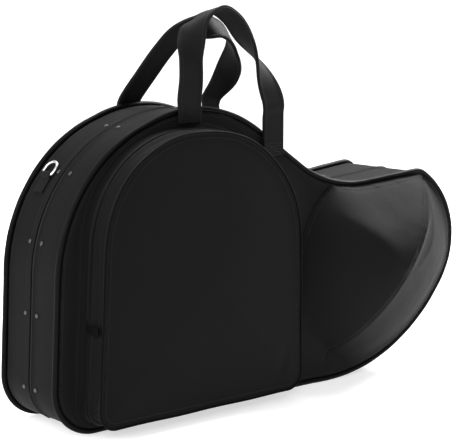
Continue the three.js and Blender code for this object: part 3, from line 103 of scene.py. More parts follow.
# outlines and depths
class Outline:
    """Straight stretches joined by tangent arcs, run anticlockwise. Every offset keeps the same points."""

    def __init__(self, corners, spacing=SURFACE_STEP):
        self.corner = np.array([complex(x, z) for x, z, _ in corners])
        self.radius = np.array([r for _, _, r in corners], float)
        run = np.roll(self.corner, -1) - self.corner
        self.run = run / abs(run)
        centre, first, sweep, radius = self.arcs(0)
        last = centre + (first - centre) * np.exp(1j * sweep)
        self.steps = [max(5, round(abs(s) * r / spacing)) for s, r in zip(sweep, radius)]
        self.parts = [max(1, round(gap / spacing)) for gap in abs(np.roll(first, -1) - last)]

    def arcs(self, inset):
        start = self.corner + 1j * self.run * inset
        before_run, before_start = np.roll(self.run, 1), np.roll(start, 1)
        turn = (before_run.conj() * self.run).imag
        reach = ((start - before_start).conj() * self.run).imag / turn
        place = before_start + before_run * reach
        radius = self.radius - np.sign(turn) * inset
        sweep = np.angle(self.run / before_run)
        first = place - before_run * radius * np.tan(abs(sweep) / 2)
        centre = first + 1j * before_run * radius * np.sign(sweep)
        return centre, first, sweep, radius

    def points(self, inset=0.0):
        centre, first, sweep, _ = self.arcs(inset)
        pieces = []
        for k, steps in enumerate(self.steps):
            arc = centre[k] + (first[k] - centre[k]) * np.exp(1j * sweep[k] * np.arange(steps + 1) / steps)
            following = first[(k + 1) % len(first)]
            share = np.arange(1, self.parts[k]) / self.parts[k]
            pieces += [arc, arc[-1] + (following - arc[-1]) * share]
        return np.concatenate(pieces)


def with_reached_height(corners):
    """The crown's corner moves up or down until the outline is as high as the case."""
    high = Outline(corners).points().imag.max()
    x, z, radius = corners[CROWN_CORNER]
    moved = list(corners)
    moved[CROWN_CORNER] = (x, z + CASE_HEIGHT - high, radius)
    return moved


def outwards(line):
    """Unit normals of a closed outline, away from its inside."""
    normal = -1j * (np.roll(line, -1) - np.roll(line, 1))
    return normal / abs(normal)


def smoothstep(value, low, high):
    share = np.clip((value - low) / (high - low), 0, 1)
    return share * share * (3 - 2 * share)


def peak(away, width):
    """A rounded peak of height one, that fades with the distance from it."""
    return np.exp(-(away / width) ** 2)


def unit(vectors):
    return vectors / np.maximum(np.linalg.norm(vectors, axis=-1, keepdims=True), 1e-9)


def placed(points, depth):
    """Places in space from complex points and a depth, one for all or one each."""
    return np.stack([points.real, np.broadcast_to(depth, points.shape), points.imag], axis=1)


def run_along(line, closed=False):
    """Length run at each point of a line, complex or in space, and at its first again if it is closed."""
    steps = np.diff(np.concatenate([line, line[:1]]) if closed else line, axis=0)
    return np.concatenate([[0], np.cumsum(abs(steps) if line.ndim == 1 else np.linalg.norm(steps, axis=1))])


def at_lengths(lengths, run, path):
    """What a path holds at some lengths along it."""
    return np.stack([np.interp(lengths, run, column) for column in path.T], axis=1)


def line_distance(points, line, closed=True):
    """Distance from complex points to a polyline."""
    points = np.atleast_1d(points)
    start = line if closed else line[:-1]
    run = (np.roll(line, -1) if closed else line[1:]) - start
    nearest = np.full(points.shape, np.inf)
    batch = 2000
    for low in range(0, len(points), batch):
        away = points[low:low + batch, None] - start[None]
        share = np.clip((away * run.conj()).real / abs(run) ** 2, 0, 1)
        nearest[low:low + batch] = abs(away - share * run).min(axis=1)
    return nearest


def enclosed(points, outline):
    """Whether each point lies inside an outline. Both are complex."""
    inside = np.zeros(len(points), bool)
    for a, b in zip(outline, np.roll(outline, -1)):
        if a.imag != b.imag:
            crosses = (a.imag > points.imag) != (b.imag > points.imag)
            at = a.real + (points.imag - a.imag) * (b.real - a.real) / (b.imag - a.imag)
            inside ^= crosses & (points.real < at)
    return inside


case = Outline(with_reached_height(CASE_CORNERS))
rim_line = case.points()
rim_normal = outwards(rim_line)
pocket = Outline(POCKET_CORNERS)
pocket_line = pocket.points()
pocket_normal = outwards(pocket_line)
pocket_run = run_along(pocket_line, closed=True)[1:]


def rim_depth(x):
    share = np.clip((x - FLARE_START_X) / (FLARE_END_X - FLARE_START_X), 0, 1)
    return BODY_HALF_DEPTH + (BELL_HALF_DEPTH - BODY_HALF_DEPTH) * share


def seam_reach(points):
    """How far a point lies inside the curved seam of the bell panel."""
    x, z, radius = BELL_SEAM
    return radius - np.hypot(np.minimum(points.real - x, 0), points.imag - z)


def beside_mouth(points):
    """How far along the chord of the bell's mouth a point lies, and how far beyond it, on the crescent."""
    away = (points - MOUTH_MIDDLE) * np.exp(-1j * MOUTH_TURN)
    bow = MOUTH_BOW * np.maximum(1 - (away.real / MOUTH_RADIUS) ** 2, 0)
    return away.real, bow - away.imag


def face_depth(points):
    """Depth of the face: crowned panel, quarter wave up to the bell's mouth, crescent down to the rim."""
    least = 0.3
    points = np.atleast_1d(points)
    away = line_distance(points, rim_line)
    crown = BODY_CROWN * smoothstep(away, 0, BODY_CROWN_REACH)
    along, beyond = beside_mouth(points)
    base = rim_depth(points.real) + RIM_RISE
    mouth = np.maximum(np.sqrt(np.maximum(MOUTH_RADIUS ** 2 - along ** 2, 0)) - base, crown)
    inside = np.maximum(seam_reach(points), 0)
    on_panel = np.sin(np.pi / 2 * inside / np.maximum(inside - np.minimum(beyond, 0), least))
    on_crescent = away / np.maximum(away + np.maximum(beyond, 0), least)
    rise = crown + (mouth - crown) * np.where(beyond > 0, on_crescent, on_panel)
    rolled = np.maximum(ROLL_RISE * np.sin(np.pi / 2 * np.minimum(away / ROLL_REACH, 1)), crown)
    soft = ROLL_SOFTNESS * (1 - SOFT_LOSS * smoothstep(away, SOFT_FROM, SOFT_TO))
    overlap = np.maximum(soft - abs(rolled - rise), 0) / soft
    low = np.minimum(rise, rolled) - overlap ** 2 * soft / 4 * smoothstep(rise - crown, LOW_RISE, FULL_RISE)
    return base + np.maximum(low, 0)


def face_normals(points, side):
    across = (face_depth(points + 1) - face_depth(points - 1)) / 2
    rise = (face_depth(points + 1j) - face_depth(points - 1j)) / 2
    return unit(np.stack([-across, np.full(len(points), float(side)), -rise], axis=1))


def on_face(points, side, lift):
    """Places a little above a face, and the way that the face looks there."""
    normals = face_normals(points, side)
    return placed(points, side * face_depth(points)) + normals * lift, normals


def ring_at(inset, depth, side):
    points = case.points(inset)
    return placed(points, side * (depth(points) if callable(depth) else depth))


def near_rim(offset):
    return lambda points: rim_depth(points.real) + offset


def wall_ring(inset, start, end, share, side):
    """A ring round a wall, a share of the way from its start to its end below the rim."""
    return ring_at(inset, lambda points: start + (rim_depth(points.real) - end - start) * share, side)


def ripple(points, scale, seed):
    """Soft uneven waves, between -1 and 1."""
    x, z = points.real / scale, points.imag / scale
    return (np.sin(x * 1.3 + seed) * np.cos(z * 1.7 - seed * 2) + 0.6 * np.sin(x * 2.9 - z * 2.1 + seed * 3)
            + 0.3 * np.sin(x * 5.3 + z * 4.7 + seed)) / 1.9


# the sewn seams of a face
def mouth_line():
    """The seam over the bell's mouth, from the rim under the horn's bell to where it sinks into the face."""
    along = np.arange(MOUTH_RADIUS, -MOUTH_RADIUS, -SEAM_STEP)
    bow = 1j * MOUTH_BOW * (1 - (along / MOUTH_RADIUS) ** 2)
    line = MOUTH_MIDDLE + (along + bow) * np.exp(1j * MOUTH_TURN)
    edge = case.points(FACE_START)
    return line[enclosed(line, edge) & (line_distance(line, edge) > SEAM_FROM_RIM)]


def bell_seam_line():
    """The arc where the bell panel swells out of the face, up to the mouth's seam."""
    x, z, radius = BELL_SEAM
    arc = complex(x, z) + radius * np.exp(1j * np.radians(np.arange(*BELL_SEAM_TURNS)))
    edge = case.points(FACE_START)
    arc = arc[enclosed(arc, edge) & (line_distance(arc, edge) > SEAM_FROM_RIM) & (beside_mouth(arc)[1] < 0)]
    kept = [arc[0]]
    for point in arc[1:]:
        if abs(point - kept[-1]) >= SEAM_STEP:
            kept.append(point)
    return np.array(kept)


mouth_seam = mouth_line()
bell_line = bell_seam_line()
bell_line = bell_line[line_distance(bell_line, mouth_seam, closed=False) > SEAM_FROM_SEAM]


def sewn_lines(side):
    """The seams of one face. On the lid the bell's seam runs under the pocket and ends there."""
    return mouth_seam, bell_line[bell_line.imag > POCKET_SEWN_Z] if side == LID else bell_line


def seam_distance(points, side):
    return np.min([line_distance(points, line, closed=False) for line in sewn_lines(side)], axis=0)


# mesh making
def smooth(mesh):
    mesh.polygons.foreach_set("use_smooth", [True] * len(mesh.polygons))


def to_mesh(name, points, faces, cloth=None, values=None):
    """A mesh from millimetres. cloth holds a UV pair a face corner, and values a number or vector a point."""
    mesh = bpy.data.meshes.new(name)
    mesh.from_pydata((np.asarray(points, float) * MM).tolist(), [], faces)
    if cloth is not None:
        layer = mesh.uv_layers.new(name="cloth")
        layer.data.foreach_set("uv", (np.asarray(cloth, float) * MM).ravel())
    for key, numbers in (values or {}).items():
        kind, field = ("FLOAT_VECTOR", "vector") if np.ndim(numbers) == 2 else ("FLOAT", "value")
        attribute = mesh.attributes.new(key, kind, "POINT")
        attribute.data.foreach_set(field, np.asarray(numbers, np.float32).ravel())
    smooth(mesh)
    mesh.update()
    return mesh


def to_piece(name, mesh, material):
    piece = bpy.data.objects.new(name, mesh)
    bpy.context.scene.collection.objects.link(piece)
    mesh.materials.clear()
    mesh.materials.append(material)
    return piece


def grid_faces(rows, count, around=True, along=False):
    """Quads of a grid of points, and the grid corner that each face corner reads its cloth place from."""
    faces, corners = [], []
    for row in range(rows if along else rows - 1):
        for k in range(count if around else count - 1):
            near, far = (row + 1) % rows, (k + 1) % count
            faces.append((row * count + k, row * count + far, near * count + far, near * count + k))
            corners += [(row, k), (row, k + 1), (row + 1, k + 1), (row + 1, k)]
    return faces, np.array(corners)


def grid_mesh(name, points, around=True, along=False, caps=False, values=None):
    """A mesh over rows of points. The cloth runs with the grid: u round each row, v from row to row."""
    points = np.asarray(points, float)
    rows, count = points.shape[:2]
    faces, corners = grid_faces(rows, count, around, along)
    u = run_along(points[rows // 2], closed=True)
    v = run_along(points[:, 0], closed=True)
    cloth = np.stack([u[corners[:, 1]], v[corners[:, 0]]], axis=1)
    if caps:
        for row in (0, rows - 1):
            faces.append(tuple(row * count + k for k in range(count)))
            cloth = np.concatenate([cloth, points[row][:, :2]])
    return to_mesh(name, points.reshape(-1, 3), faces, cloth, values)


def facing_out(mesh):
    """Merges doubles and turns every face of a closed mesh outwards."""
    work = bmesh.new()
    work.from_mesh(mesh)
    bmesh.ops.remove_doubles(work, verts=work.verts, dist=2e-6)
    bmesh.ops.recalc_face_normals(work, faces=work.faces)
    work.to_mesh(mesh)
    work.free()
    mesh.update()
    return mesh


def turn_outwards(mesh, side):
    """Turns an open sheet so that its faces look away from the case's inside."""
    normals, areas = np.zeros(len(mesh.polygons) * 3), np.zeros(len(mesh.polygons))
    mesh.polygons.foreach_get("normal", normals)
    mesh.polygons.foreach_get("area", areas)
    if (normals[1::3] * areas).sum() * side < 0:
        mesh.flip_normals()
        mesh.update()


def baked(piece):
    """Bakes the modifiers of a piece into its mesh."""
    graph = bpy.context.evaluated_depsgraph_get()
    mesh = bpy.data.meshes.new_from_object(piece.evaluated_get(graph))
    piece.modifiers.clear()
    piece.data = mesh
    return piece


def modified(piece, **modifiers):
    for kind, settings in modifiers.items():
        modifier = piece.modifiers.new(kind.lower(), kind)
        for key, value in settings.items():
            setattr(modifier, key, value)
    return baked(piece)


def filled(outline, spacing, creases=(), keep_clear=0.55):
    """Triangles that fill an outline evenly and follow each crease. Points are complex."""
    left, right = outline.real.min(), outline.real.max()
    levels = np.arange(outline.imag.min(), outline.imag.max(), spacing * math.sqrt(3) / 2)
    spots = np.concatenate([np.arange(left + (k % 2) * spacing / 2, right, spacing) + 1j * z
                            for k, z in enumerate(levels)])
    spots = spots[enclosed(spots, outline)]
    spots = spots[line_distance(spots, outline) > spacing * keep_clear]
    edges = [(k, (k + 1) % len(outline)) for k in range(len(outline))]
    fixed, count = [outline], len(outline)
    for crease in creases:
        spots = spots[line_distance(spots, crease, closed=False) > spacing * keep_clear]
        edges += [(count + k, count + k + 1) for k in range(len(crease) - 1)]
        fixed.append(crease)
        count += len(crease)
    every = [Vector((p.real, p.imag)) for p in np.concatenate([*fixed, spots])]
    coords, _, faces, *_ = delaunay_2d_cdt(every, edges, [], 1, 1e-4, False)
    points, faces = np.array([complex(*p) for p in coords]), np.array([list(face) for face in faces])
    return points, faces[enclosed(points[faces].mean(axis=1), outline)]


def sheet(name, rings, flat, triangles, depth, side, material, solid, around=None, column=0, values=None):
    """Cloth round a wall and over its face, made solid. column is where the cloth is measured inward."""
    grid = np.array(rings)
    faces, corners = grid_faces(*grid.shape[:2])
    first = grid.shape[0] * grid.shape[1]
    faces += [tuple(face) for face in (first + triangles).tolist()]
    cloth = None
    if around is not None:
        inward = run_along(grid[:, column])
        cloth = np.concatenate([np.stack([around[corners[:, 1]], inward[corners[:, 0]]], axis=1),
                                np.stack([flat.real, flat.imag], axis=1)[triangles.ravel()]])
    points = np.concatenate([grid.reshape(-1, 3), placed(flat, side * depth)])
    mesh = facing_out(to_mesh(name, points, faces, cloth, values))
    turn_outwards(mesh, side)
    thickness, offset = solid
    return modified(to_piece(name, mesh, material), SOLIDIFY={"thickness": thickness * MM, "offset": offset})


def tube(name, path, radius, material, sides=14, closed=True, up=(0, 1, 0)):
    """A round cord, wire or rolled edge along a path, in millimetres."""
    ahead = np.roll(path, -1, axis=0) - np.roll(path, 1, axis=0) if closed else np.gradient(path, axis=0)
    heading = unit(ahead)
    side = unit(np.cross(heading, np.asarray(up, float)))
    rise = np.cross(side, heading)
    angles = 2 * np.pi * np.arange(sides) / sides
    radius = np.broadcast_to(np.asarray(radius, float), len(path))[:, None, None]
    rings = path[:, None] + radius * (side[:, None] * np.cos(angles)[None, :, None]
                                      + rise[:, None] * np.sin(angles)[None, :, None])
    return to_piece(name, facing_out(grid_mesh(name, rings, along=closed, caps=not closed)), material)


def swept(name, path, across, normal, section, material):
    """A strap or tape: a section of (across, normal) points carried along a path."""
    section = np.asarray(section, float)
    across, normal = (np.broadcast_to(way, path.shape)[:, None] for way in (across, normal))
    rings = path[:, None] + across * section[None, :, :1] + normal * section[None, :, 1:]
    return to_piece(name, facing_out(grid_mesh(name, rings, caps=True)), material)


# nodes of materials and of repeats
def feed(tree, socket, value):
    value = getattr(value, "socket", value)
    if isinstance(value, bpy.types.NodeSocket):
        tree.links.new(value, socket)
    else:
        socket.default_value = value


def add_node(tree, kind, settings=None, inputs=None):
    node = tree.nodes.new(kind)
    for key, value in (settings or {}).items():
        setattr(node, key, value)
    for key, value in (inputs or {}).items():
        feed(tree, node.inputs[key], value)
    return node


def by_node(operation):
    """A method that puts a value through one operation."""
    return lambda self, *others: self.do(operation, *others)


class Value:
    """A number or a colour on its way through a node tree. Arithmetic on it adds the nodes."""

    def __init__(self, tree, socket):
        self.tree, self.socket = tree, socket

    def do(self, operation, *others, clamp=False):
        settings = {"operation": operation, "use_clamp": clamp}
        node = add_node(self.tree, "ShaderNodeMath", settings, dict(enumerate((self, *others))))
        return Value(self.tree, node.outputs[0])

    __add__ = by_node("ADD")
    __mul__ = by_node("MULTIPLY")
    __pow__ = by_node("POWER")
    sin = by_node("SINE")
    abs = by_node("ABSOLUTE")
    above = by_node("GREATER_THAN")

    def __rsub__(self, other):
        return self * -1 + other

    def limited(self):
        return self.do("ADD", 0.0, clamp=True)


def shade(level, tint):
    return tuple(level * t for t in tint) + (1.0,)


class Finish:
    """A procedural material round one Principled shader."""

    def __init__(self, name, tint=(1.0, 1.0, 1.06), **constants):
        self.material = bpy.data.materials.new(name)
        self.material.use_nodes = True
        self.tree, self.tint = self.material.node_tree, tint
        self.tree.nodes.clear()
        self.shader = self.node("ShaderNodeBsdfPrincipled", inputs={
            key.replace("_", " "): value for key, value in constants.items()})
        self.node("ShaderNodeOutputMaterial", inputs={"Surface": self.shader.outputs[0]})

    def node(self, kind, settings=None, inputs=None):
        return add_node(self.tree, kind, settings, inputs)

    def value(self, kind, output, settings, inputs=None):
        return Value(self.tree, self.node(kind, settings, inputs).outputs[output])

    def places(self):
        return self.node("ShaderNodeTexCoord").outputs["Object"]

    def noise(self, scale, detail=3.0, roughness=0.55, stretch=(1, 1, 1)):
        mapping = self.node("ShaderNodeMapping", inputs={"Vector": self.places(), "Scale": stretch})
        return self.value("ShaderNodeTexNoise", "Fac", {"noise_dimensions": "3D"}, {
            "Vector": mapping.outputs[0], "Scale": scale, "Detail": detail, "Roughness": roughness})

    def threads(self, across, along):
        """Waves over the two directions of the cloth, from their lengths in metres."""
        uv = self.node("ShaderNodeUVMap", {"uv_map": "cloth"})
        parts = self.node("ShaderNodeSeparateXYZ", inputs={"Vector": uv.outputs[0]})
        return [(Value(self.tree, parts.outputs[k]) * (math.pi / length)).sin()
                for k, length in enumerate((across, along))]

    def attribute(self, name):
        return self.value("ShaderNodeAttribute", "Fac", {"attribute_name": name})

    def mix(self, share, first, second):
        inputs = {"Factor": share, "A": first, "B": second}
        return self.node("ShaderNodeMix", {"data_type": "RGBA"}, inputs).outputs["Result"]

    def toned(self, tone, low, high):
        """A colour between two levels of grey."""
        return self.mix(tone.limited(), shade(low, self.tint), shade(high, self.tint))

    def bump(self, height, strength, distance, under=None):
        inputs = {"Height": height, "Strength": strength, "Distance": distance}
        if under is not None:
            inputs["Normal"] = under
        return self.node("ShaderNodeBump", inputs=inputs).outputs["Normal"]

    def done(self, colour, roughness, normal):
        for key, value in (("Base Color", colour), ("Roughness", roughness.limited()), ("Normal", normal)):
            feed(self.tree, self.shader.inputs[key], value)
        return self.material


# finishes
def cloth_finish(name, level, pitch=0.0011, roughness=0.7, seams=True, nap=0.05):
    """Dull synthetic cloth: a plain weave and a slow change of tone; with seams, lighter worn places and
    painted shade that darkens the cloth along each seam.
    """
    finish = Finish(name, Sheen_Weight=nap, Sheen_Roughness=0.32, Specular_IOR_Level=0.07)
    across, along = finish.threads(pitch, pitch)
    turn = (across * along).above(0.0)
    height = across.abs() ** 0.6 * turn + along.abs() ** 0.6 * (1 - turn)
    slow, fine = finish.noise(9, 4), finish.noise(420, 2, 0.7)
    colour = finish.toned(slow * 0.35 + fine * 0.35 + height * 0.25, level * 0.62, level * 1.5)
    normal = finish.bump(height * 0.6 + fine * 0.4, 0.35, 0.0004)
    normal = finish.bump(finish.noise(38, 5, 0.5), 0.16, 0.004, normal)
    if seams:
        # painted shade: the cloth darkens towards each sewn seam, as if shade fell in its groove
        crease = 1 - (finish.attribute("seam") * 0.62).limited()
        colour = finish.mix(crease ** 2, colour, shade(level * 0.12, finish.tint))
        worn = (finish.attribute("wear") * (slow * 1.4)).limited()
        colour = finish.mix(worn, colour, shade(level * 3.2, finish.tint))
    return finish.done(colour, fine * 0.18 + (roughness - 0.09), normal)


def webbing_finish(name, level, rib=0.0018, thread_gap=0.0009):
    """Ribbed webbing with ribs along the strap and a fine cross thread."""
    finish = Finish(name, Sheen_Weight=0.03, Sheen_Roughness=0.35, Specular_IOR_Level=0.1)
    ribs, cross = finish.threads(rib, thread_gap)
    ribs, cross = ribs.abs() ** 0.5, cross * 0.5 + 0.5
    fine, slow = finish.noise(500, 2, 0.7), finish.noise(14, 3)
    colour = finish.toned(ribs * 0.35 + cross * 0.2 + fine * 0.3 + slow * 0.25, level * 0.5, level * 1.5)
    return finish.done(colour, fine * 0.15 + 0.58, finish.bump(ribs * 0.6 + cross * 0.4, 0.45, 0.0004))


def plush_finish(name, level):
    """Short plush: a deep nap with brushed patches."""
    finish = Finish(name, (1.0, 1.0, 1.1), Sheen_Weight=0.12, Sheen_Roughness=0.35, Specular_IOR_Level=0.12)
    nap, patch = finish.noise(900, 2, 0.8), finish.noise(16, 4, 0.6)
    colour = finish.toned(nap * 0.6 + patch * 0.5, level * 0.5, level * 1.7)
    normal = finish.bump(patch, 0.2, 0.003, finish.bump(nap, 0.55, 0.0007))
    return finish.done(colour, patch * 0.12 + 0.84, normal)


def vinyl_finish(name, level, roughness=0.5):
    """Rolled vinyl with a leather-like grain and scuffs."""
    finish = Finish(name, Specular_IOR_Level=0.09)
    cells = finish.value("ShaderNodeTexVoronoi", "Distance", {"feature": "F1"}, {
        "Vector": finish.places(), "Scale": 900.0})
    scuff, grain = finish.noise(55, 5, 0.65), finish.noise(300, 3)
    colour = finish.toned(scuff * 0.7 + cells * 0.3, level * 0.6, level * 1.6)
    return finish.done(colour, scuff * 0.3 + (roughness - 0.12),
                       finish.bump(cells * 0.5 + grain * 0.5, 0.3, 0.0004))


def metal_finish(name, level, roughness):
    """Plated metal with fine scratches and finger marks."""
    finish = Finish(name, (1.0, 1.0, 1.02), Metallic=1.0)
    scratch, smear = finish.noise(260, 4, 0.7, stretch=(1, 9, 1)), finish.noise(40, 4, 0.6)
    colour = finish.toned(smear, level * 0.82, level * 1.1)
    rough = scratch * 0.14 + smear * 0.12 + (roughness - 0.1)
    return finish.done(colour, rough, finish.bump(scratch, 0.08, 0.0002))


def thread_finish(name, level):
    """Twisted sewing thread."""
    finish = Finish(name, Sheen_Weight=0.05, Specular_IOR_Level=0.25)
    twist, fade = finish.noise(2600, 1, 0.5), finish.noise(35, 3)
    colour = finish.toned(twist * 0.5 + fade * 0.5, level * 0.6, level * 1.5)
    return finish.done(colour, fade * 0.2 + 0.42, finish.bump(twist, 0.4, 0.0002))


shell_cloth = cloth_finish("shell_cloth", 0.005, nap=0.045)
lip_cloth = cloth_finish("lip_cloth", 0.016, pitch=0.0007, seams=False)
pocket_cloth = cloth_finish("pocket_cloth", 0.0036, pitch=0.0010, nap=0.032)
webbing = webbing_finish("strap_webbing", 0.0042)
tape_cloth = cloth_finish("zip_cloth", 0.005, pitch=0.0007, seams=False, nap=0.045)
binding_vinyl = vinyl_finish("binding_vinyl", 0.0012)
nylon = vinyl_finish("zip_nylon", 0.0015)
thread = thread_finish("sewing_thread", 0.006)
nickel = metal_finish("nickel_plate", 0.9, 0.3)
dark_metal = metal_finish("black_plate", 0.1, 0.36)
rivet_metal = metal_finish("rivet_plate", 0.085, 0.34)
plush = plush_finish("lining_plush", 0.035)
foam_plush = plush_finish("rest_plush", 0.042)
board_cloth = cloth_finish("board_cloth", 0.022, pitch=0.0009, seams=False)


# the repeated small parts: stitches, zip teeth and rivets
def repeat_tree():
    """One shape set on every point, turned by the point's heading and facing."""
    tree = bpy.data.node_groups.new("repeats", "GeometryNodeTree")
    sockets = {}
    for label, kind in (("Places", "Geometry"), ("Shape", "Object"), ("Finish", "Material"),
                        ("Size", "Float"), ("Unevenness", "Float")):
        socket = tree.interface.new_socket(label, in_out="INPUT", socket_type="NodeSocket" + kind)
        sockets[label] = socket.identifier
    tree.interface.new_socket("Result", in_out="OUTPUT", socket_type="NodeSocketGeometry")
    given = add_node(tree, "NodeGroupInput").outputs
    heading, facing = (
        add_node(tree, "GeometryNodeInputNamedAttribute", {"data_type": "FLOAT_VECTOR"}, {"Name": name})
        for name in ("heading", "facing"))
    turn = add_node(tree, "FunctionNodeAxesToRotation", {"primary_axis": "Z", "secondary_axis": "X"}, {
        "Primary Axis": facing.outputs["Attribute"], "Secondary Axis": heading.outputs["Attribute"]})
    chance = add_node(tree, "FunctionNodeRandomValue", {"data_type": "FLOAT"}, {2: -1.0, 3: 1.0, "Seed": 11})
    uneven = add_node(tree, "ShaderNodeMath", {"operation": "MULTIPLY_ADD"}, {
        0: chance.outputs[1], 1: given["Unevenness"], 2: given["Size"]})
    shape = add_node(tree, "GeometryNodeObjectInfo", inputs={"Object": given["Shape"]})
    laid = add_node(tree, "GeometryNodeInstanceOnPoints", inputs={
        "Points": given["Places"], "Instance": shape.outputs["Geometry"],
        "Rotation": turn.outputs[0], "Scale": uneven.outputs[0]})
    real = add_node(tree, "GeometryNodeRealizeInstances", inputs={"Geometry": laid.outputs[0]})
    dressed = add_node(tree, "GeometryNodeSetMaterial", inputs={
        "Geometry": real.outputs[0], "Material": given["Finish"]})
    add_node(tree, "NodeGroupOutput", inputs={0: dressed.outputs[0]})
    return tree, sockets


repeats, repeat_sockets = repeat_tree()


def repeated(name, shape, rows, material, size=1.0, unevenness=0.05):
    """Sets a small shape on every place of the rows. A row is (places, headings, facings), in millimetres."""
    places, headings, facings = (np.concatenate([row[k] for row in rows]) for k in range(3))
    mesh = to_mesh(name, places, [], values={"heading": headings, "facing": facings})
    piece = to_piece(name, mesh, material)
    modifier = piece.modifiers.new("repeats", "NODES")
    modifier.node_group = repeats
    for label, value in (("Shape", shape), ("Finish", material), ("Size", size), ("Unevenness", unevenness)):
        modifier[repeat_sockets[label]] = value
    mesh = baked(piece).data
    mesh.name = name
    smooth(mesh)
    return piece


def spaced(path, facings, pitch, closed=False):
    """Even places along a path, with the direction of travel and the facing at each, or one for all."""
    facings = np.broadcast_to(np.asarray(facings, float), path.shape)
    if closed:
        path, facings = np.vstack([path, path[:1]]), np.vstack([facings, facings[:1]])
    run = run_along(path)
    count = max(2, int(run[-1] / pitch))
    at = (np.arange(count) + 0.5) * run[-1] / count
    heading = at_lengths(at + 0.5, run, path) - at_lengths(at - 0.5, run, path)
    return at_lengths(at, run, path), unit(heading), unit(at_lengths(at, run, facings))


AXIS_X, AXIS_Y, AXIS_Z = np.eye(3)
patterns = bpy.data.collections.new("patterns")


def pattern(name, spine, first, second, sides, top=None):
    """A small round shape, only shown where it is repeated: rings of (x, z, radius) in two directions."""
    turns = [2 * math.pi * k / sides for k in range(sides)]
    points = [np.array([x, 0, z]) + radius * (math.cos(turn) * first + math.sin(turn) * second)
              for x, z, radius in spine for turn in turns]
    faces, _ = grid_faces(len(spine), sides)
    count, last = len(points), len(points) - sides
    if top:
        points.append(top)
        faces += [(last + k, last + (k + 1) % sides, count) for k in range(sides)]
        faces.append(tuple(range(sides))[::-1])
    else:
        faces += [tuple(range(sides)), tuple(range(last, count))]
    shape = bpy.data.objects.new(name, facing_out(to_mesh(name, points, faces)))
    patterns.objects.link(shape)
    return shape


def thread_pattern(name, half, shoulder, low, high, thin, thick):
    """A short thread or wire along X, thinner and lower at its ends."""
    spine = [(-half, low, thin), (-shoulder, high, thick), (shoulder, high, thick), (half, low, thin)]
    return pattern(name, spine, AXIS_Y, AXIS_Z, 6)


def dome_pattern(name, radius, height):
    """A domed head with a straight edge."""
    profile = [(1, -0.4), (1, 0.25), (0.93, height * 0.5), (0.72, height * 0.82), (0.4, height * 0.97)]
    return pattern(name, [(0, z, radius * share) for share, z in profile], AXIS_X, AXIS_Y, 18, (0, 0, height))


stitch = thread_pattern("stitch", 1.5, 0.8, -0.25, 0.2, 0.22, 0.36)
zip_tooth = thread_pattern("zip_tooth", 1.9, 0.9, -0.3, 0.35, 0.42, 0.62)
rivet_dome = dome_pattern("rivet_dome", 3.1, 1.5)


def sewn(name, *rows):
    return repeated(name, stitch, rows, thread)


# the two halves of the case
SHELL_EDGE = [(12.2, 8.0), (12.2, 1.6), (11.6, 0.7), (10.2, 0.5), (7.6, 0.5), (6.5, 0.9), (6.05, 1.8)]
SHELL_RIM = [(6.5, -4.6), (7.7, -3.2), (8.5, -1.6), (8.6, 0.8), (FACE_START, RIM_RISE)]
SHELL_WALL_START, SHELL_WALL_END, SHELL_SWELL = 2, 6.2, 0.7
GROOVE_DEPTH, GROOVE_WIDTH = 2.2, 1.5
HOLLOW_DEPTH, HOLLOW_LENGTH, HOLLOW_FADE = 0.5, 46, 40
LINING_INSET, LINING_START, LINING_END = 17.8, 6, 19
LINING_EDGE = [(13.4, 12.0), (13.1, 5.0), (13.8, 3.9), (15.4, 3.5), (17.2, 4.2), (LINING_INSET, LINING_START)]
LINING_FACE_INSET, LINING_UNDER, LINING_SPACING = 25, 14.8, 7.5
SEAM_LIFT, SEAM_SEWING_BESIDE, RIM_SEWING_INSET, WALL_SEWING_LOW = 0.2, 4.2, FACE_START + 3.4, -9.2
RIVET_PROUD = 0.9
NO_SEAM = 20


def half_skin(side):
    """The cloth-covered shell of one half: seam edge, wall, rim, and the face with its bell and crescent."""
    rings = [ring_at(inset, depth, side) for inset, depth in SHELL_EDGE]
    for share in np.linspace(0.06, 1, 13):
        swell = SHELL_SWELL * math.sin(math.pi * share)
        rings.append(wall_ring(BINDING_PROUD - swell, SHELL_WALL_START, SHELL_WALL_END, share, side))
    rings += [ring_at(inset, near_rim(offset), side) for inset, offset in SHELL_RIM]
    edge = case.points(FACE_START)
    flat, triangles = filled(edge, FACE_SPACING, sewn_lines(side))
    seam, away = seam_distance(flat, side), line_distance(flat, edge)
    groove = GROOVE_DEPTH * peak(seam, GROOVE_WIDTH)
    hollow = HOLLOW_DEPTH * ripple(flat, HOLLOW_LENGTH, 3 + side) * smoothstep(away, 0, HOLLOW_FADE)
    depth = np.where(away < 0.01, rim_depth(flat.real) + RIM_RISE, face_depth(flat) - groove + hollow)
    wall_depth = abs(np.array(rings)[..., 1]).ravel()
    below_rim = np.tile(rim_depth(case.points(BINDING_PROUD).real), len(rings)) - wall_depth
    wear = np.concatenate([0.45 * peak(wall_depth, 5) + 0.3 * peak(below_rim - 5, 4),
                           0.35 * peak(away, 7) + 0.3 * peak(seam - 2.6, 1.3)])
    # distance to the nearest seam, which the cloth reads to paint shade along the seams
    seams = np.concatenate([np.full(len(wall_depth), NO_SEAM), np.minimum(seam, NO_SEAM)])
    return sheet(half_bodies[side] + "_skin", rings, flat, triangles, depth, side, shell_cloth, (2.2, -1),
                 run_along(rim_line, closed=True), 40, {"seam": seams, "wear": wear})


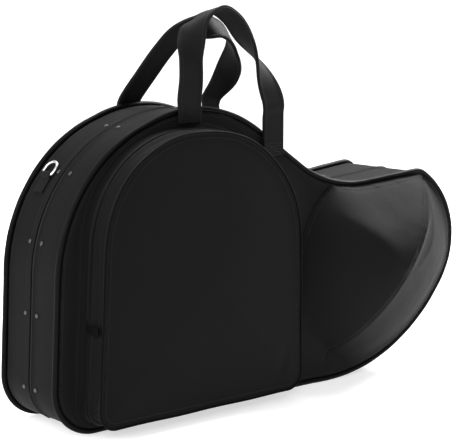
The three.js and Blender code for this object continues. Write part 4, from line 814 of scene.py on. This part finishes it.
def lining(side):
    """Plush lining: a rolled edge at the seam, the wall, a rounded corner and the floor."""
    rings = [ring_at(inset, depth, side) for inset, depth in LINING_EDGE]
    rings += [wall_ring(LINING_INSET, LINING_START, LINING_END, share, side)
              for share in np.linspace(0.12, 1, 8)]
    edge = case.points(LINING_FACE_INSET)
    base = rim_depth(case.points(LINING_INSET).real) - LINING_END
    rise = face_depth(edge) - LINING_UNDER - base
    for angle in np.array([0.3, 0.6, 0.85, 1.0]) * math.pi / 2:
        inset = LINING_INSET + (LINING_FACE_INSET - LINING_INSET) * (1 - math.cos(angle))
        rings.append(placed(case.points(inset), side * (base + rise * math.sin(angle))))
    flat, triangles = filled(edge, LINING_SPACING)
    uneven = 0.9 * ripple(flat, 30, 1.0 + side) * smoothstep(line_distance(flat, edge), 0, 20)
    depth = face_depth(flat) - LINING_UNDER - uneven
    return sheet(half_bodies[side] + "_plush", rings, flat, triangles, depth, side, plush, (2.6, 1))


def seam_sewing(side):
    """Stitches beside the rim, the mouth's seam and the bell's seam, and along the wall."""
    rows = [spaced(*on_face(case.points(RIM_SEWING_INSET), side, SEAM_LIFT), STITCH_PITCH, closed=True)]
    for line in sewn_lines(side):
        heading = np.gradient(line)
        aside = 1j * heading / abs(heading)
        for offset in (-SEAM_SEWING_BESIDE, SEAM_SEWING_BESIDE):
            rows.append(spaced(*on_face(line + aside * offset, side, SEAM_LIFT), STITCH_PITCH))
    wall = ring_at(BINDING_PROUD - 0.1, near_rim(WALL_SEWING_LOW), side)
    rows.append(spaced(wall, placed(rim_normal, 0), STITCH_PITCH, closed=True))
    return sewn(half_bodies[side] + "_seam_sewing", *rows)


def half_binding(side):
    """Rolled piping round the rim, a little uneven where it was pulled round the curves."""
    run = run_along(rim_line, closed=True)[1:]
    radius = BINDING_RADIUS * (1 + 0.035 * np.sin(run / 23) + 0.02 * np.sin(run / 7.3))
    path = ring_at(BINDING_RADIUS, near_rim(0), side)
    return tube(half_bodies[side] + "_piping", path, radius, binding_vinyl, sides=16)


ZIP_START_X, ZIP_END_X, ZIP_LOWEST_Z = -330, 236, 60
ZIP_SECTION = [(1.9, 0.1), (1.9, 0.75), (3.4, 0.95), (9, 0.6), (15.4, 0.3), (16.6, 0.1), (16.6, -0.3)]
LIP_OUT, LIP_DEPTH, LIP_RADIUS = {LID: 0.9, TRAY: 0.4}, 2.7, 1.25
TEETH_OUT, TEETH_DEPTH, TEETH_PITCH, TEETH_SIZE = 1.2, 1.45, 2.6, 0.62
ZIP_SEWING_OUT, ZIP_SEWING_DEPTH, ZIP_SEWING_PITCH = 0.45, 12.6, 4.0


def stretch(kept):
    """The numbers, in order, of the points on the one kept stretch of a closed outline."""
    order = np.roll(np.arange(len(kept)), -np.flatnonzero(kept & ~np.roll(kept, 1))[0])
    return order[kept[order]]


def zip_run():
    """The wall's outline from the lower right over the top to the lower left, where the zip runs."""
    wall = case.points(BINDING_PROUD)
    on_floor = (wall.imag < ZIP_LOWEST_Z) & (wall.real > ZIP_START_X) & (wall.real < ZIP_END_X)
    return wall[stretch(~on_floor)]


def zip_teeth(name, places, outward, pitch, size):
    """A row of the coil's teeth, across the way that it runs."""
    places, headings, facings = spaced(places, outward, pitch)
    return repeated(name, zip_tooth, [(places, np.cross(facings, headings), facings)], nylon, size=size)


def zip_half(side):
    """Zip tape sewn over the wall, a rolled lip at the seam, the coil's teeth and the sewing."""
    body = half_bodies[side]
    line = zip_run()
    heading = np.gradient(line)
    out = -1j * heading / abs(heading)
    outward = placed(out, 0)
    tape = swept(body + "_zip_cloth", placed(line, 0), (0, side, 0), outward, ZIP_SECTION, tape_cloth)
    lip = tube(body + "_zip_lip", placed(line + out * LIP_OUT[side], side * LIP_DEPTH), LIP_RADIUS,
               lip_cloth if side == LID else shell_cloth, sides=10, closed=False)
    coil = zip_teeth(body + "_zip_teeth", placed(line + out * TEETH_OUT, side * TEETH_DEPTH), outward,
                     TEETH_PITCH, TEETH_SIZE)
    row = spaced(placed(line + out * ZIP_SEWING_OUT, side * ZIP_SEWING_DEPTH), outward, ZIP_SEWING_PITCH)
    return tape, lip, coil, sewn(body + "_zip_sewing", row)


def rivets(side):
    """Domed rivet heads in their pairs across the seam."""
    wall = case.points(BINDING_PROUD)
    rows = []
    for node in rivet_nodes(side):
        low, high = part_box(node)
        middle = np.array([(a + b) / 2 / MM for a, b in zip(low, high)])
        nearest = int(np.argmin(abs(wall - complex(middle[0], middle[2]))))
        out = placed(rim_normal[[nearest]], 0)
        seat = placed(wall[[nearest]], middle[1]) + out * RIVET_PROUD
        rows.append((seat, np.array([[0.0, 1.0, 0.0]]), out))
    return repeated(half_bodies[side] + "_rivets", rivet_dome, rows, rivet_metal, unevenness=0.0)


def rivet_nodes(side):
    return [f"{half_bodies[side]}_rivet_{k}" for k in range(1, 9)]


# the pocket on the lid
POCKET_ROLL = ((0.5, 0.2), (1.6, 0.9), (2.8, 0.1), (4.4, -0.4), (POCKET_EDGE_INSET, 0))
POCKET_FLANGE = ((7.5, 0.3), (7.5, 1.0), (3.6, 1.3), (0.6, 1.6))
POCKET_ZIP_SECTION = [(77.2, -1.4), (77.2, 0.2), (78.5, 0.55), (83.4, 0.75), (84.0, 0.5), (84.0, -1.0)]
POCKET_WALL_RINGS, POCKET_WORN_RINGS = 12, (10, 14)
POCKET_RIDGE_INSET, POCKET_RIDGE_PROUD, POCKET_RIDGE_RADIUS = 1.3, 0.4, 1.5
POCKET_TEETH_OUT, POCKET_TEETH_DEPTH, POCKET_TEETH_PITCH, POCKET_TEETH_SIZE = 0.9, 83.4, 2.4, 0.55
POCKET_SEWING_INSET, POCKET_FLANGE_SEWING_OUT, POCKET_SEWING_PITCH = POCKET_EDGE_INSET + 3.2, 4.6, 4.2
pocket_edge_line = pocket.points(POCKET_EDGE_INSET)
pocket_cornered = peak(np.min([abs(pocket_line - corner) for corner in POCKET_LOW_CORNERS], axis=0), 46)


def gusset_inset(share):
    """Folds of the pocket's side: how far the cloth is drawn in at a share of the way to the front."""
    slack = 1 + 0.4 * np.sin(pocket_run / 61 + 1.2) + 0.3 * np.sin(pocket_run / 27)
    place = share + 0.05 * np.sin(pocket_run / 43 + 2)
    fold = np.sin(math.pi * place) ** 2 * 2.4 + np.sin(2 * math.pi * place) ** 2 * 3.0
    pinch = 1.9 * np.sin(pocket_run / 5.2 + share * 5) * pocket_cornered
    return fold * slack + pinch * math.sin(math.pi * share)


def pocket_depth(points):
    """Depth of the pocket's front, with its crown, its sag and one slanting crease."""
    away = line_distance(points, pocket_edge_line)
    crown = POCKET_CROWN * (1 - (1 - np.clip(away / POCKET_CROWN_REACH, 0, 1)) ** 2)
    x, z = points.real, points.imag
    sag = (0.9 * np.sin((x + 140) / 47 + 0.4 * np.sin(z / 90)) + 0.7 * np.sin((x - 0.25 * z) / 83 + 1)
           + 0.5 * ripple(points, 60, 5))
    crease = -2.2 * peak(x - 0.35 * (z - 30) + 24, 9) * smoothstep(-z, -120, -40)
    return POCKET_FRONT_DEPTH + (crown + (sag * 0.8 + crease) * smoothstep(away, 0, 45))


def pocket_cover():
    """One cloth from the zip round the front, in place of the pocket's lower part and its flap."""
    rings = []
    for share in np.linspace(0, 1, POCKET_WALL_RINGS):
        depth = POCKET_COVER_DEPTH + (POCKET_FRONT_DEPTH - 1.2 - POCKET_COVER_DEPTH) * share
        rings.append(placed(pocket_line - pocket_normal * gusset_inset(share), LID * depth))
    for inset, proud in POCKET_ROLL:
        rings.append(placed(pocket.points(inset), LID * (POCKET_FRONT_DEPTH + proud)))
    flat, triangles = filled(pocket_edge_line, FACE_SPACING)
    rows = np.repeat(np.arange(len(rings)), len(pocket_line))
    first, last = POCKET_WORN_RINGS
    wear = np.concatenate([np.where((rows >= first) & (rows <= last), 0.5, 0.04),
                           0.22 * peak(line_distance(flat, pocket_edge_line), 5)])
    values = {"seam": np.full(len(wear), NO_SEAM), "wear": wear}
    return sheet("pocket_cloth_cover", rings, flat, triangles, pocket_depth(flat), LID, pocket_cloth,
                 (1.8, -1), run_along(pocket_line, closed=True), 30, values)


def pocket_gusset():
    """The pocket's rear side: a flange sewn on the lid and the cloth up to the zip."""
    rings = []
    for outset, lift in POCKET_FLANGE:
        points = pocket_line + pocket_normal * outset
        rings.append(placed(points, LID * (face_depth(points) + lift)))
    start = face_depth(pocket_line) + 2.4
    for share in np.linspace(0, 1, 6):
        inset = 1.8 * math.sin(math.pi * share) * (1 + 0.3 * np.sin(pocket_run / 37))
        depth = start + (POCKET_SIDE_DEPTH - start) * share
        rings.append(placed(pocket_line - pocket_normal * inset, LID * depth))
    count = len(rings) * len(pocket_line)
    values = {"seam": np.full(count, NO_SEAM), "wear": np.full(count, 0.03)}
    mesh = grid_mesh("pocket_gusset", rings, values=values)
    piece = to_piece("pocket_gusset", facing_out(mesh), pocket_cloth)
    return modified(piece, SOLIDIFY={"thickness": 1.6 * MM, "offset": 0})


def pocket_edge():
    """The bound ridge round the pocket's front and its top stitching."""
    path = pocket.points(POCKET_RIDGE_INSET) + pocket_normal * 0.35 * np.sin(pocket_run / 19)
    ridge = tube("pocket_ridge", placed(path, LID * (POCKET_FRONT_DEPTH + POCKET_RIDGE_PROUD)),
                 POCKET_RIDGE_RADIUS, pocket_cloth, sides=10)
    line = pocket.points(POCKET_SEWING_INSET)
    places = placed(line, LID * (pocket_depth(line) + 0.15))
    return ridge, sewn("pocket_sewing", spaced(places, (0, LID, 0), POCKET_SEWING_PITCH, closed=True))


def pocket_zip():
    """The pocket's zip over its arch: tape, teeth, and the row that holds the flange below it."""
    kept = stretch(pocket_line.imag > POCKET_FOLD_Z + 6)
    line, normal = pocket_line[kept], pocket_normal[kept]
    outward = placed(normal, 0)
    tape = swept("pocket_zip_cloth", placed(line, 0), (0, LID, 0), outward, POCKET_ZIP_SECTION, tape_cloth)
    places = placed(line + normal * POCKET_TEETH_OUT, LID * POCKET_TEETH_DEPTH)
    teeth = zip_teeth("pocket_zip_teeth", places, outward, POCKET_TEETH_PITCH, POCKET_TEETH_SIZE)
    flange = pocket_line + pocket_normal * POCKET_FLANGE_SEWING_OUT
    row = spaced(placed(flange, LID * (face_depth(flange) + 1.7)), face_normals(flange, LID),
                 POCKET_SEWING_PITCH, closed=True)
    return tape, teeth, sewn("pocket_flange_sewing", row)


# the strap handles: shares of the width and height, then height, lean and turns as (angle, from, to)
FRONT_STRAP = (
    [(0, 0), (0, 0.08), (0.05, 0.3), (0.1, 0.68), (0.15, 0.81), (0.43, 1), (0.6, 0.91), (0.74, 0.68),
     (0.87, 0.42), (0.99, 0.08), (1, 0)],
    134, 10, ((-92, 0.2, 0.42), (92, 0.63, 0.97)))
BACK_STRAP = (
    [(0, 0), (0, 0.08), (0.08, 0.38), (0.18, 0.7), (0.28, 0.89), (0.55, 1), (0.82, 0.92), (1.03, 0.66),
     (1.08, 0.3), (1.02, 0.08), (1, 0)],
    129, 32, ((-77, 0.43, 0.57), (-103, 0.7, 1.0)))
LOOP_SAMPLES, BIND_LIFT = 260, 0.7
STRAP_SEWING_BESIDE, STRAP_SEWING_PITCH, ROOT_SEWING_PITCH = 15.2, 3.8, 3.4
LONG_ROOT, ROOT_BOX_HEIGHT, ROOT_BOX_HALF, ROOT_SEWING_TOP = 20, 16, 13, PIVOT_Z - 12
ROOT_TOP, ROOT_FOLD_LOW, ROOT_FOLD_HIGH = PIVOT_Z - 4, PIVOT_Z - 16, PIVOT_Z - 3


def loop_curve(points):
    """A centripetal curve through points, evenly spaced."""
    points = np.asarray(points, float)
    ends = np.vstack([2 * points[0] - points[1], points, 2 * points[-1] - points[-2]])
    gaps = np.linalg.norm(np.diff(ends, axis=0), axis=1) ** 0.5
    share = np.linspace(0, 1, 60)[:, None]
    spans = []
    for k in range(1, len(ends) - 2):
        before, at, following, after = ends[k - 1:k + 3]
        d0, d1, d2 = gaps[k - 1:k + 2]
        first = ((at - before) / d0 - (following - before) / (d0 + d1) + (following - at) / d1) * d1
        second = ((following - at) / d1 - (after - at) / (d1 + d2) + (after - following) / d2) * d1
        spans.append(at + first * share + (3 * (following - at) - 2 * first - second) * share ** 2
                     + (2 * (at - following) + first + second) * share ** 3)
    dense = np.concatenate(spans)
    run = run_along(dense)
    run += np.arange(len(run)) * 1e-9
    return at_lengths(np.linspace(0, run[-1], LOOP_SAMPLES), run, dense)


def root_depth(points):
    """Depth where a strap's root lies on the face and over the binding."""
    return np.maximum(face_depth(points), rim_depth(points.real) + BINDING_RADIUS) + BIND_LIFT


def root_line(x, drop, side):
    """Middle line of a strap's root, from its lower end up to just below the fold."""
    line = x + 1j * np.linspace(ROOT_FOLD_HIGH - drop, ROOT_TOP, max(6, int(drop / 3)))
    deep, half = root_depth(line), STRAP_THICKNESS / 2
    rise = smoothstep(line.imag, ROOT_FOLD_LOW, ROOT_FOLD_HIGH)
    return placed(line, side * (deep + (PIVOT_DEPTH - half - deep) * rise + half))


def strap_line(shares, height, lean, twist, side):
    """Middle line of a strap from its left root to its right one, with its width and face directions."""
    width = HANDLE_RIGHT_X - HANDLE_LEFT_X
    loop = loop_curve([(HANDLE_LEFT_X + width * a, height * u) for a, u in shares])
    loop = loop[:, 0] + 1j * loop[:, 1]
    heading = np.gradient(loop)
    heading = heading / np.maximum(abs(heading), 1e-9)
    share = np.linspace(0, 1, len(loop))
    turn = sum(math.radians(angle) * smoothstep(share, begins, ends) for angle, begins, ends in twist)
    ahead, in_plane = placed(heading, 0), placed(-1j * heading, 0)
    across = in_plane * np.cos(turn)[:, None] + np.cross(ahead, in_plane) * np.sin(turn)[:, None]
    face = np.cross(ahead, across)
    angle = math.radians(lean) * -side
    cos, sin = math.cos(angle), math.sin(angle)
    tilt = np.array([[1, 0, 0], [0, cos, sin], [0, -sin, cos]])
    place, across, face = placed(loop, 0) @ tilt.T, across @ tilt.T, face @ tilt.T
    place += np.array([0, side * PIVOT_DEPTH, PIVOT_Z])
    left = root_line(HANDLE_LEFT_X, DROPS[0], side)
    right = root_line(HANDLE_RIGHT_X, DROPS[1], side)[::-1]
    keep = slice(2, -2)
    ways = [[np.broadcast_to(way[0], left.shape), way[keep], np.broadcast_to(way[-1], right.shape)]
            for way in (across, face)]
    return [np.concatenate(parts) for parts in ([left, place[keep], right], *ways)]


def strap_section():
    """Two layers of webbing sewn together, with thicker woven edges."""
    half, thick = STRAP_WIDTH / 2, STRAP_THICKNESS / 2
    right = [(0, thick - 0.25), (6, thick - 0.3), (half - 6, thick - 0.45), (half - 3.6, thick - 0.55),
             (half - 2.4, thick - 0.1), (half - 0.9, thick), (half - 0.1, thick - 0.7), (half, 0.25)]
    upper = [(-x, y) for x, y in reversed(right[1:])] + right + [(half - 0.8, 0.0)]
    return upper + [(x, -y) for x, y in reversed(upper[:-1])] + [(-half + 0.8, 0.0)]


def strap(name, shape, side):
    place, across, face = strap_line(*shape, side)
    lift = STRAP_THICKNESS / 2 - 0.35
    rows = [spaced(place + across * offset + face * way * lift, face * way, STRAP_SEWING_PITCH)
            for offset in (-STRAP_SEWING_BESIDE, STRAP_SEWING_BESIDE) for way in (-1, 1)]
    band = swept(name, place, across, face, strap_section(), webbing)
    return band, sewn(name + "_sewing", *rows)


def root_sewing(name, x, drop, side):
    """Stitches that hold a strap's root on the face: rows across it, and a crossed box on a long root."""
    low, high = PIVOT_Z - drop, PIVOT_Z - drop + ROOT_BOX_HEIGHT
    is_long = drop > LONG_ROOT
    across = x + np.linspace(-ROOT_BOX_HALF, ROOT_BOX_HALF, 8)
    levels = np.linspace(low, min(high, ROOT_SEWING_TOP), 5 if is_long else 2)
    lines = [across + 1j * level for level in levels]
    if is_long:
        slant = 1j * np.linspace(low, high, 8)
        lines += [across + slant, across[::-1] + slant]
    return sewn(name, *(spaced(placed(line, side * (root_depth(line) + STRAP_THICKNESS - 0.3)),
                               (0, side, 0), ROOT_SEWING_PITCH) for line in lines))


# the metal parts and what stays close to its solid
def from_solid(name, node, material, **modifiers):
    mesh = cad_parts[node].data.copy()
    mesh.name = name
    return modified(to_piece(name, facing_out(mesh), material), **modifiers)


def node_copy(name, node, material, rounding):
    """A copy of a solid with its edges rounded, and cloth directions taken from its box."""
    piece = from_solid(name, node, material,
                       DECIMATE={"decimate_type": "DISSOLVE", "angle_limit": math.radians(1.5)},
                       BEVEL={"width": rounding * MM, "segments": 3, "angle_limit": math.radians(35)})
    mesh = piece.data
    layer = mesh.uv_layers.get("cloth") or mesh.uv_layers.new(name="cloth")
    for polygon in mesh.polygons:
        normal = [abs(c) for c in polygon.normal]
        drop = normal.index(max(normal))
        for loop in polygon.loop_indices:
            spot = mesh.vertices[mesh.loops[loop].vertex_index].co
            layer.data[loop].uv = [c for k, c in enumerate(spot) if k != drop]
    smooth(mesh)
    mesh.set_sharp_from_angle(angle=math.radians(40))
    return piece


def softened(name, node, voxel=2.6, rounds=6):
    """A foam piece from its solid: remeshed and smoothed, so that its edges are drawn in."""
    piece = from_solid(name, node, foam_plush, REMESH={"mode": "VOXEL", "voxel_size": voxel * MM},
                       SMOOTH={"iterations": rounds, "factor": 0.5})
    piece.data.materials.clear()
    piece.data.materials.append(foam_plush)
    smooth(piece.data)
    return piece


# the middle of each ring's bar, the way that the ring lies, and the way out of the case
RING_PLACES = {
    "left": ((-306.484, 31, 334.275), (0.6589, 0, 0.7522), (-0.7522, 0, 0.6589)),
    "right": ((354.937, 31, 237.231), (-0.4012, 0, 0.916), (0.916, 0, 0.4012)),
}
RING_HALF, RING_REACH, RING_WIRE, RING_CORNER = 11.6, 20, 1.8, 3.2


def d_ring(which):
    """A bent wire: a straight bar in its tab, two tight corners and a half circle."""
    origin, along, out = (np.array(v, float) for v in RING_PLACES[which])
    flat = RING_HALF - RING_CORNER
    corner = [(RING_CORNER * (1 - math.cos(angle)), RING_HALF - RING_CORNER * (1 - math.sin(angle)))
              for angle in np.radians(np.linspace(15, 90, 6))]
    bow = [(RING_REACH - RING_HALF + RING_HALF * math.cos(angle), RING_HALF * math.sin(angle))
           for angle in np.radians(np.linspace(90, -90, 30))]
    bar = [(0.0, t) for t in np.linspace(-flat, flat, 6)]
    path = np.array(bar + corner + bow + [(x, -y) for x, y in reversed(corner)])
    places = origin + path[:, :1] * along + path[:, 1:] * np.cross(out, along)
    return tube("d_ring_wire_" + which, places, RING_WIRE, nickel, up=out)


def lid_cushion():
    """The stuffed cushion in the lid, blown up a little as cloth so that its sides draw in."""
    drawn_in, pressure, frames, most_moved = 0.965, 4, 20, 4.5 * MM
    piece = softened("lid_cushion", "lid_pad", voxel=4.5, rounds=3)
    start = np.array([v.co[:] for v in piece.data.vertices])
    middle = start.mean(axis=0)
    for vertex in piece.data.vertices:
        vertex.co = Vector(middle + (np.array(vertex.co) - middle) * drawn_in)
    cloth = piece.modifiers.new("cloth", "CLOTH").settings
    cloth.quality = 5
    cloth.use_pressure = True
    cloth.uniform_pressure_force = pressure
    cloth.effector_weights.gravity = 0
    scene = bpy.context.scene
    for step in range(frames):
        scene.frame_set(step + 1)
    moved = piece.evaluated_get(bpy.context.evaluated_depsgraph_get())
    shift = np.array([v.co[:] for v in moved.data.vertices]) - start
    piece.modifiers.clear()
    scene.frame_set(1)
    length = np.linalg.norm(shift, axis=1, keepdims=True)
    shift *= np.minimum(1, most_moved / np.maximum(length, 1e-9))
    for vertex, place in zip(piece.data.vertices, start + shift):
        vertex.co = place
    modified(piece, SUBSURF={"levels": 1, "render_levels": 1})
    smooth(piece.data)
    return piece


# putting it together
def riding(body, *pieces):
    for piece in pieces:
        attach(piece, body)


def standing_for(slot, piece, *nodes):
    """Hides the CAD nodes that a piece takes the place of, and gives the piece back; the slot is not used."""
    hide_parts(*nodes)
    return piece


def install(body, slot, piece, *nodes):
    riding(body, piece)
    return standing_for(slot, piece, *nodes)


for side, body in half_bodies.items():
    install(body, "shell_fabric", half_skin(side), body + "_shell")
    install(body, "binding_vinyl", half_binding(side), body + "_binding")
    tape, *extras = zip_half(side)
    install(body, "zip_tape", tape, body + "_zip_tape")
    riding(body, *extras)
    install(body, "plush", lining(side), body + "_lining")
    install(body, "dark_metal", rivets(side), *rivet_nodes(side))
    riding(body, seam_sewing(side))

HINGE_START_X, HINGE_END_X, HINGE_Z, HINGE_STEPS = -296, 103, 4.4, 60
HINGE_HALF = [(17.4, -0.9), (17.2, 0.9), (15, 1.3), (6, 1.2), (2.5, 0.5), (1, -0.2)]
hinge_section = [(-x, y) for x, y in HINGE_HALF] + HINGE_HALF[::-1] + [(6, -1), (-6, -1)]
hinge_line = placed(np.linspace(HINGE_START_X, HINGE_END_X, HINGE_STEPS) + 1j * HINGE_Z, 0)
hinge = swept("hinge_strip", hinge_line, (0, 1, 0), (0, 0, -1), hinge_section, webbing)
standing_for("webbing", hinge, "tray_hinge_leaf", "lid_hinge_leaf")
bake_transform(hinge)

for name, shape, side, body, joint_body in (
        ("front_strap", FRONT_STRAP, LID, "lid", "front_handle"),
        ("back_strap", BACK_STRAP, TRAY, "tray", "back_handle")):
    band, sewing = strap(name, shape, side)
    standing_for("webbing", band, joint_body, joint_body + "_anchor_left", joint_body + "_anchor_right")
    for piece in (band, sewing):
        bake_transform(piece)
    for x, drop, label in ((HANDLE_LEFT_X, DROPS[0], "left"), (HANDLE_RIGHT_X, DROPS[1], "right")):
        riding(body, root_sewing(f"{name}_{label}_box", x, drop, side))

cover = standing_for("pocket_fabric", pocket_cover(), "pocket_flap", "pocket_lower")
for piece in (cover, *pocket_edge()):
    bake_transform(piece)
install("lid", "pocket_fabric", pocket_gusset(), "pocket_rear_strip")
pocket_tape, *pocket_extras = pocket_zip()
install("lid", "zip_tape", pocket_tape, "pocket_zip_tape")
riding("lid", *pocket_extras)

for which in ("left", "right"):
    install("d_ring_" + which, "nickel", d_ring(which), "d_ring_" + which)
    for name, node, body, material, slot, rounding in (
            ("ring_tab_", "d_ring_tab_", "tray", webbing, "webbing", 0.8),
            ("zip_end_patch_", "pocket_zip_tab_", "lid", pocket_cloth, "pocket_fabric", 0.5)):
        install(body, slot, node_copy(name + which, node + which, material, rounding), node + which)
for name, node, rounding in (
        ("slider_left", "zip_slider_left", 0.45), ("pull_left", "zip_pull_left", 0.4),
        ("slider_right", "zip_slider_right", 0.45), ("pull_right", "zip_pull_right", 0.4),
        ("pocket_slider", "pocket_zip_slider", 0.45), ("pocket_pull", "pocket_zip_pull", 0.4)):
    install(node, "dark_metal", node_copy(name, node, dark_metal, rounding), node)

for name, node, body, rounding in (
        ("accessory_tray", "accessory_box", "tray", 1.2),
        ("accessory_door", "accessory_lid", "accessory_lid", 1.0)):
    install(body, "fibre_board", node_copy(name, node, board_cloth, rounding), node)
for name, node in (
        ("mouthpiece_rest", "mouthpiece_block"), ("coil_rest", "coil_island"), ("bell_rest", "neck_rest")):
    install("tray", "plush", softened(name, node), node)
install("lid", "plush", lid_cushion(), "lid_pad")


# the studio, in metres
FORWARD, ACROSS = np.array([0.6428, 0.766, 0.0]), np.array([0.766, -0.6428, 0.0])
PAPER_START, PAPER_BEND, BEND_RADIUS, PAPER_TOP, PAPER_HALF_WIDTH = -5.0, 3.5, 2, 7.0, 6
GREY, WHITE = (0.62, 0.62, 0.62, 1.0), (1.0, 1.0, 1.0, 1.0)
LAMP_AIM = Vector((0, 0, 0.22))
LAMPS = (
    ("left_window", (-2.6, 0.5, 1.6), (2.0, 1.8), 65), ("right_window", (2.2, 0.1, 2.2), (0.9, 0.9), 170),
    ("top_window", (0.5, 0.6, 2.9), (1.6, 1.2), 70), ("front_window", (-2.0, -2.8, 2.3), (2.4, 1.2), 60))
CAMERA_PLACE, CAMERA_WAY = (-1.390, -1.6285, 0.5795), (0.6349, 0.7566, -0.1564)
LENS, SENSOR_WIDTH = 119.5, 36


def aimed(name, data, place, way):
    """A lamp or camera that looks along a direction."""
    holder = bpy.data.objects.new(name, data)
    holder.location = place
    holder.rotation_euler = way.to_track_quat("-Z", "Y").to_euler()
    bpy.context.scene.collection.objects.link(holder)
    return holder


def studio():
    """A bright paper sweep, four soft windows and the photograph's camera."""
    scene = bpy.context.scene
    bend = [(PAPER_BEND + BEND_RADIUS * math.sin(t), BEND_RADIUS - BEND_RADIUS * math.cos(t))
            for t in np.radians(np.arange(6, 91, 6))]
    profile = [(PAPER_START, 0), (PAPER_BEND, 0), *bend, (PAPER_BEND + BEND_RADIUS, PAPER_TOP)]
    rows = [[FORWARD * reach + np.array([0, 0, height]) + ACROSS * wide
             for wide in (-PAPER_HALF_WIDTH, PAPER_HALF_WIDTH)] for reach, height in profile]
    paper = Finish("studio_paper", Roughness=0.9, Specular_IOR_Level=0.1, Emission_Strength=0.62,
                   Base_Color=GREY, Emission_Color=WHITE)
    sweep = grid_mesh("studio_floor", np.array(rows) / MM, around=False)
    to_piece("studio_floor", sweep, paper.material)
    world = bpy.data.worlds.new("studio_air")
    scene.world = world
    world.use_nodes = True
    colour, strength = world.node_tree.nodes["Background"].inputs[:2]
    colour.default_value, strength.default_value = WHITE, 0.32
    for name, place, size, power in LAMPS:
        light = bpy.data.lights.new(name, "AREA")
        light.shape, light.size, light.size_y, light.energy = "RECTANGLE", size[0], size[1], power
        aimed(name, light, place, LAMP_AIM - Vector(place))
    camera = bpy.data.cameras.new("photo_camera")
    camera.lens, camera.sensor_width, camera.sensor_fit = LENS, SENSOR_WIDTH, "HORIZONTAL"
    camera.clip_start, camera.clip_end = 0.05, 60
    scene.camera = aimed("photo_camera", camera, CAMERA_PLACE, Vector(CAMERA_WAY))
    scene.view_settings.view_transform = "Standard"


studio()
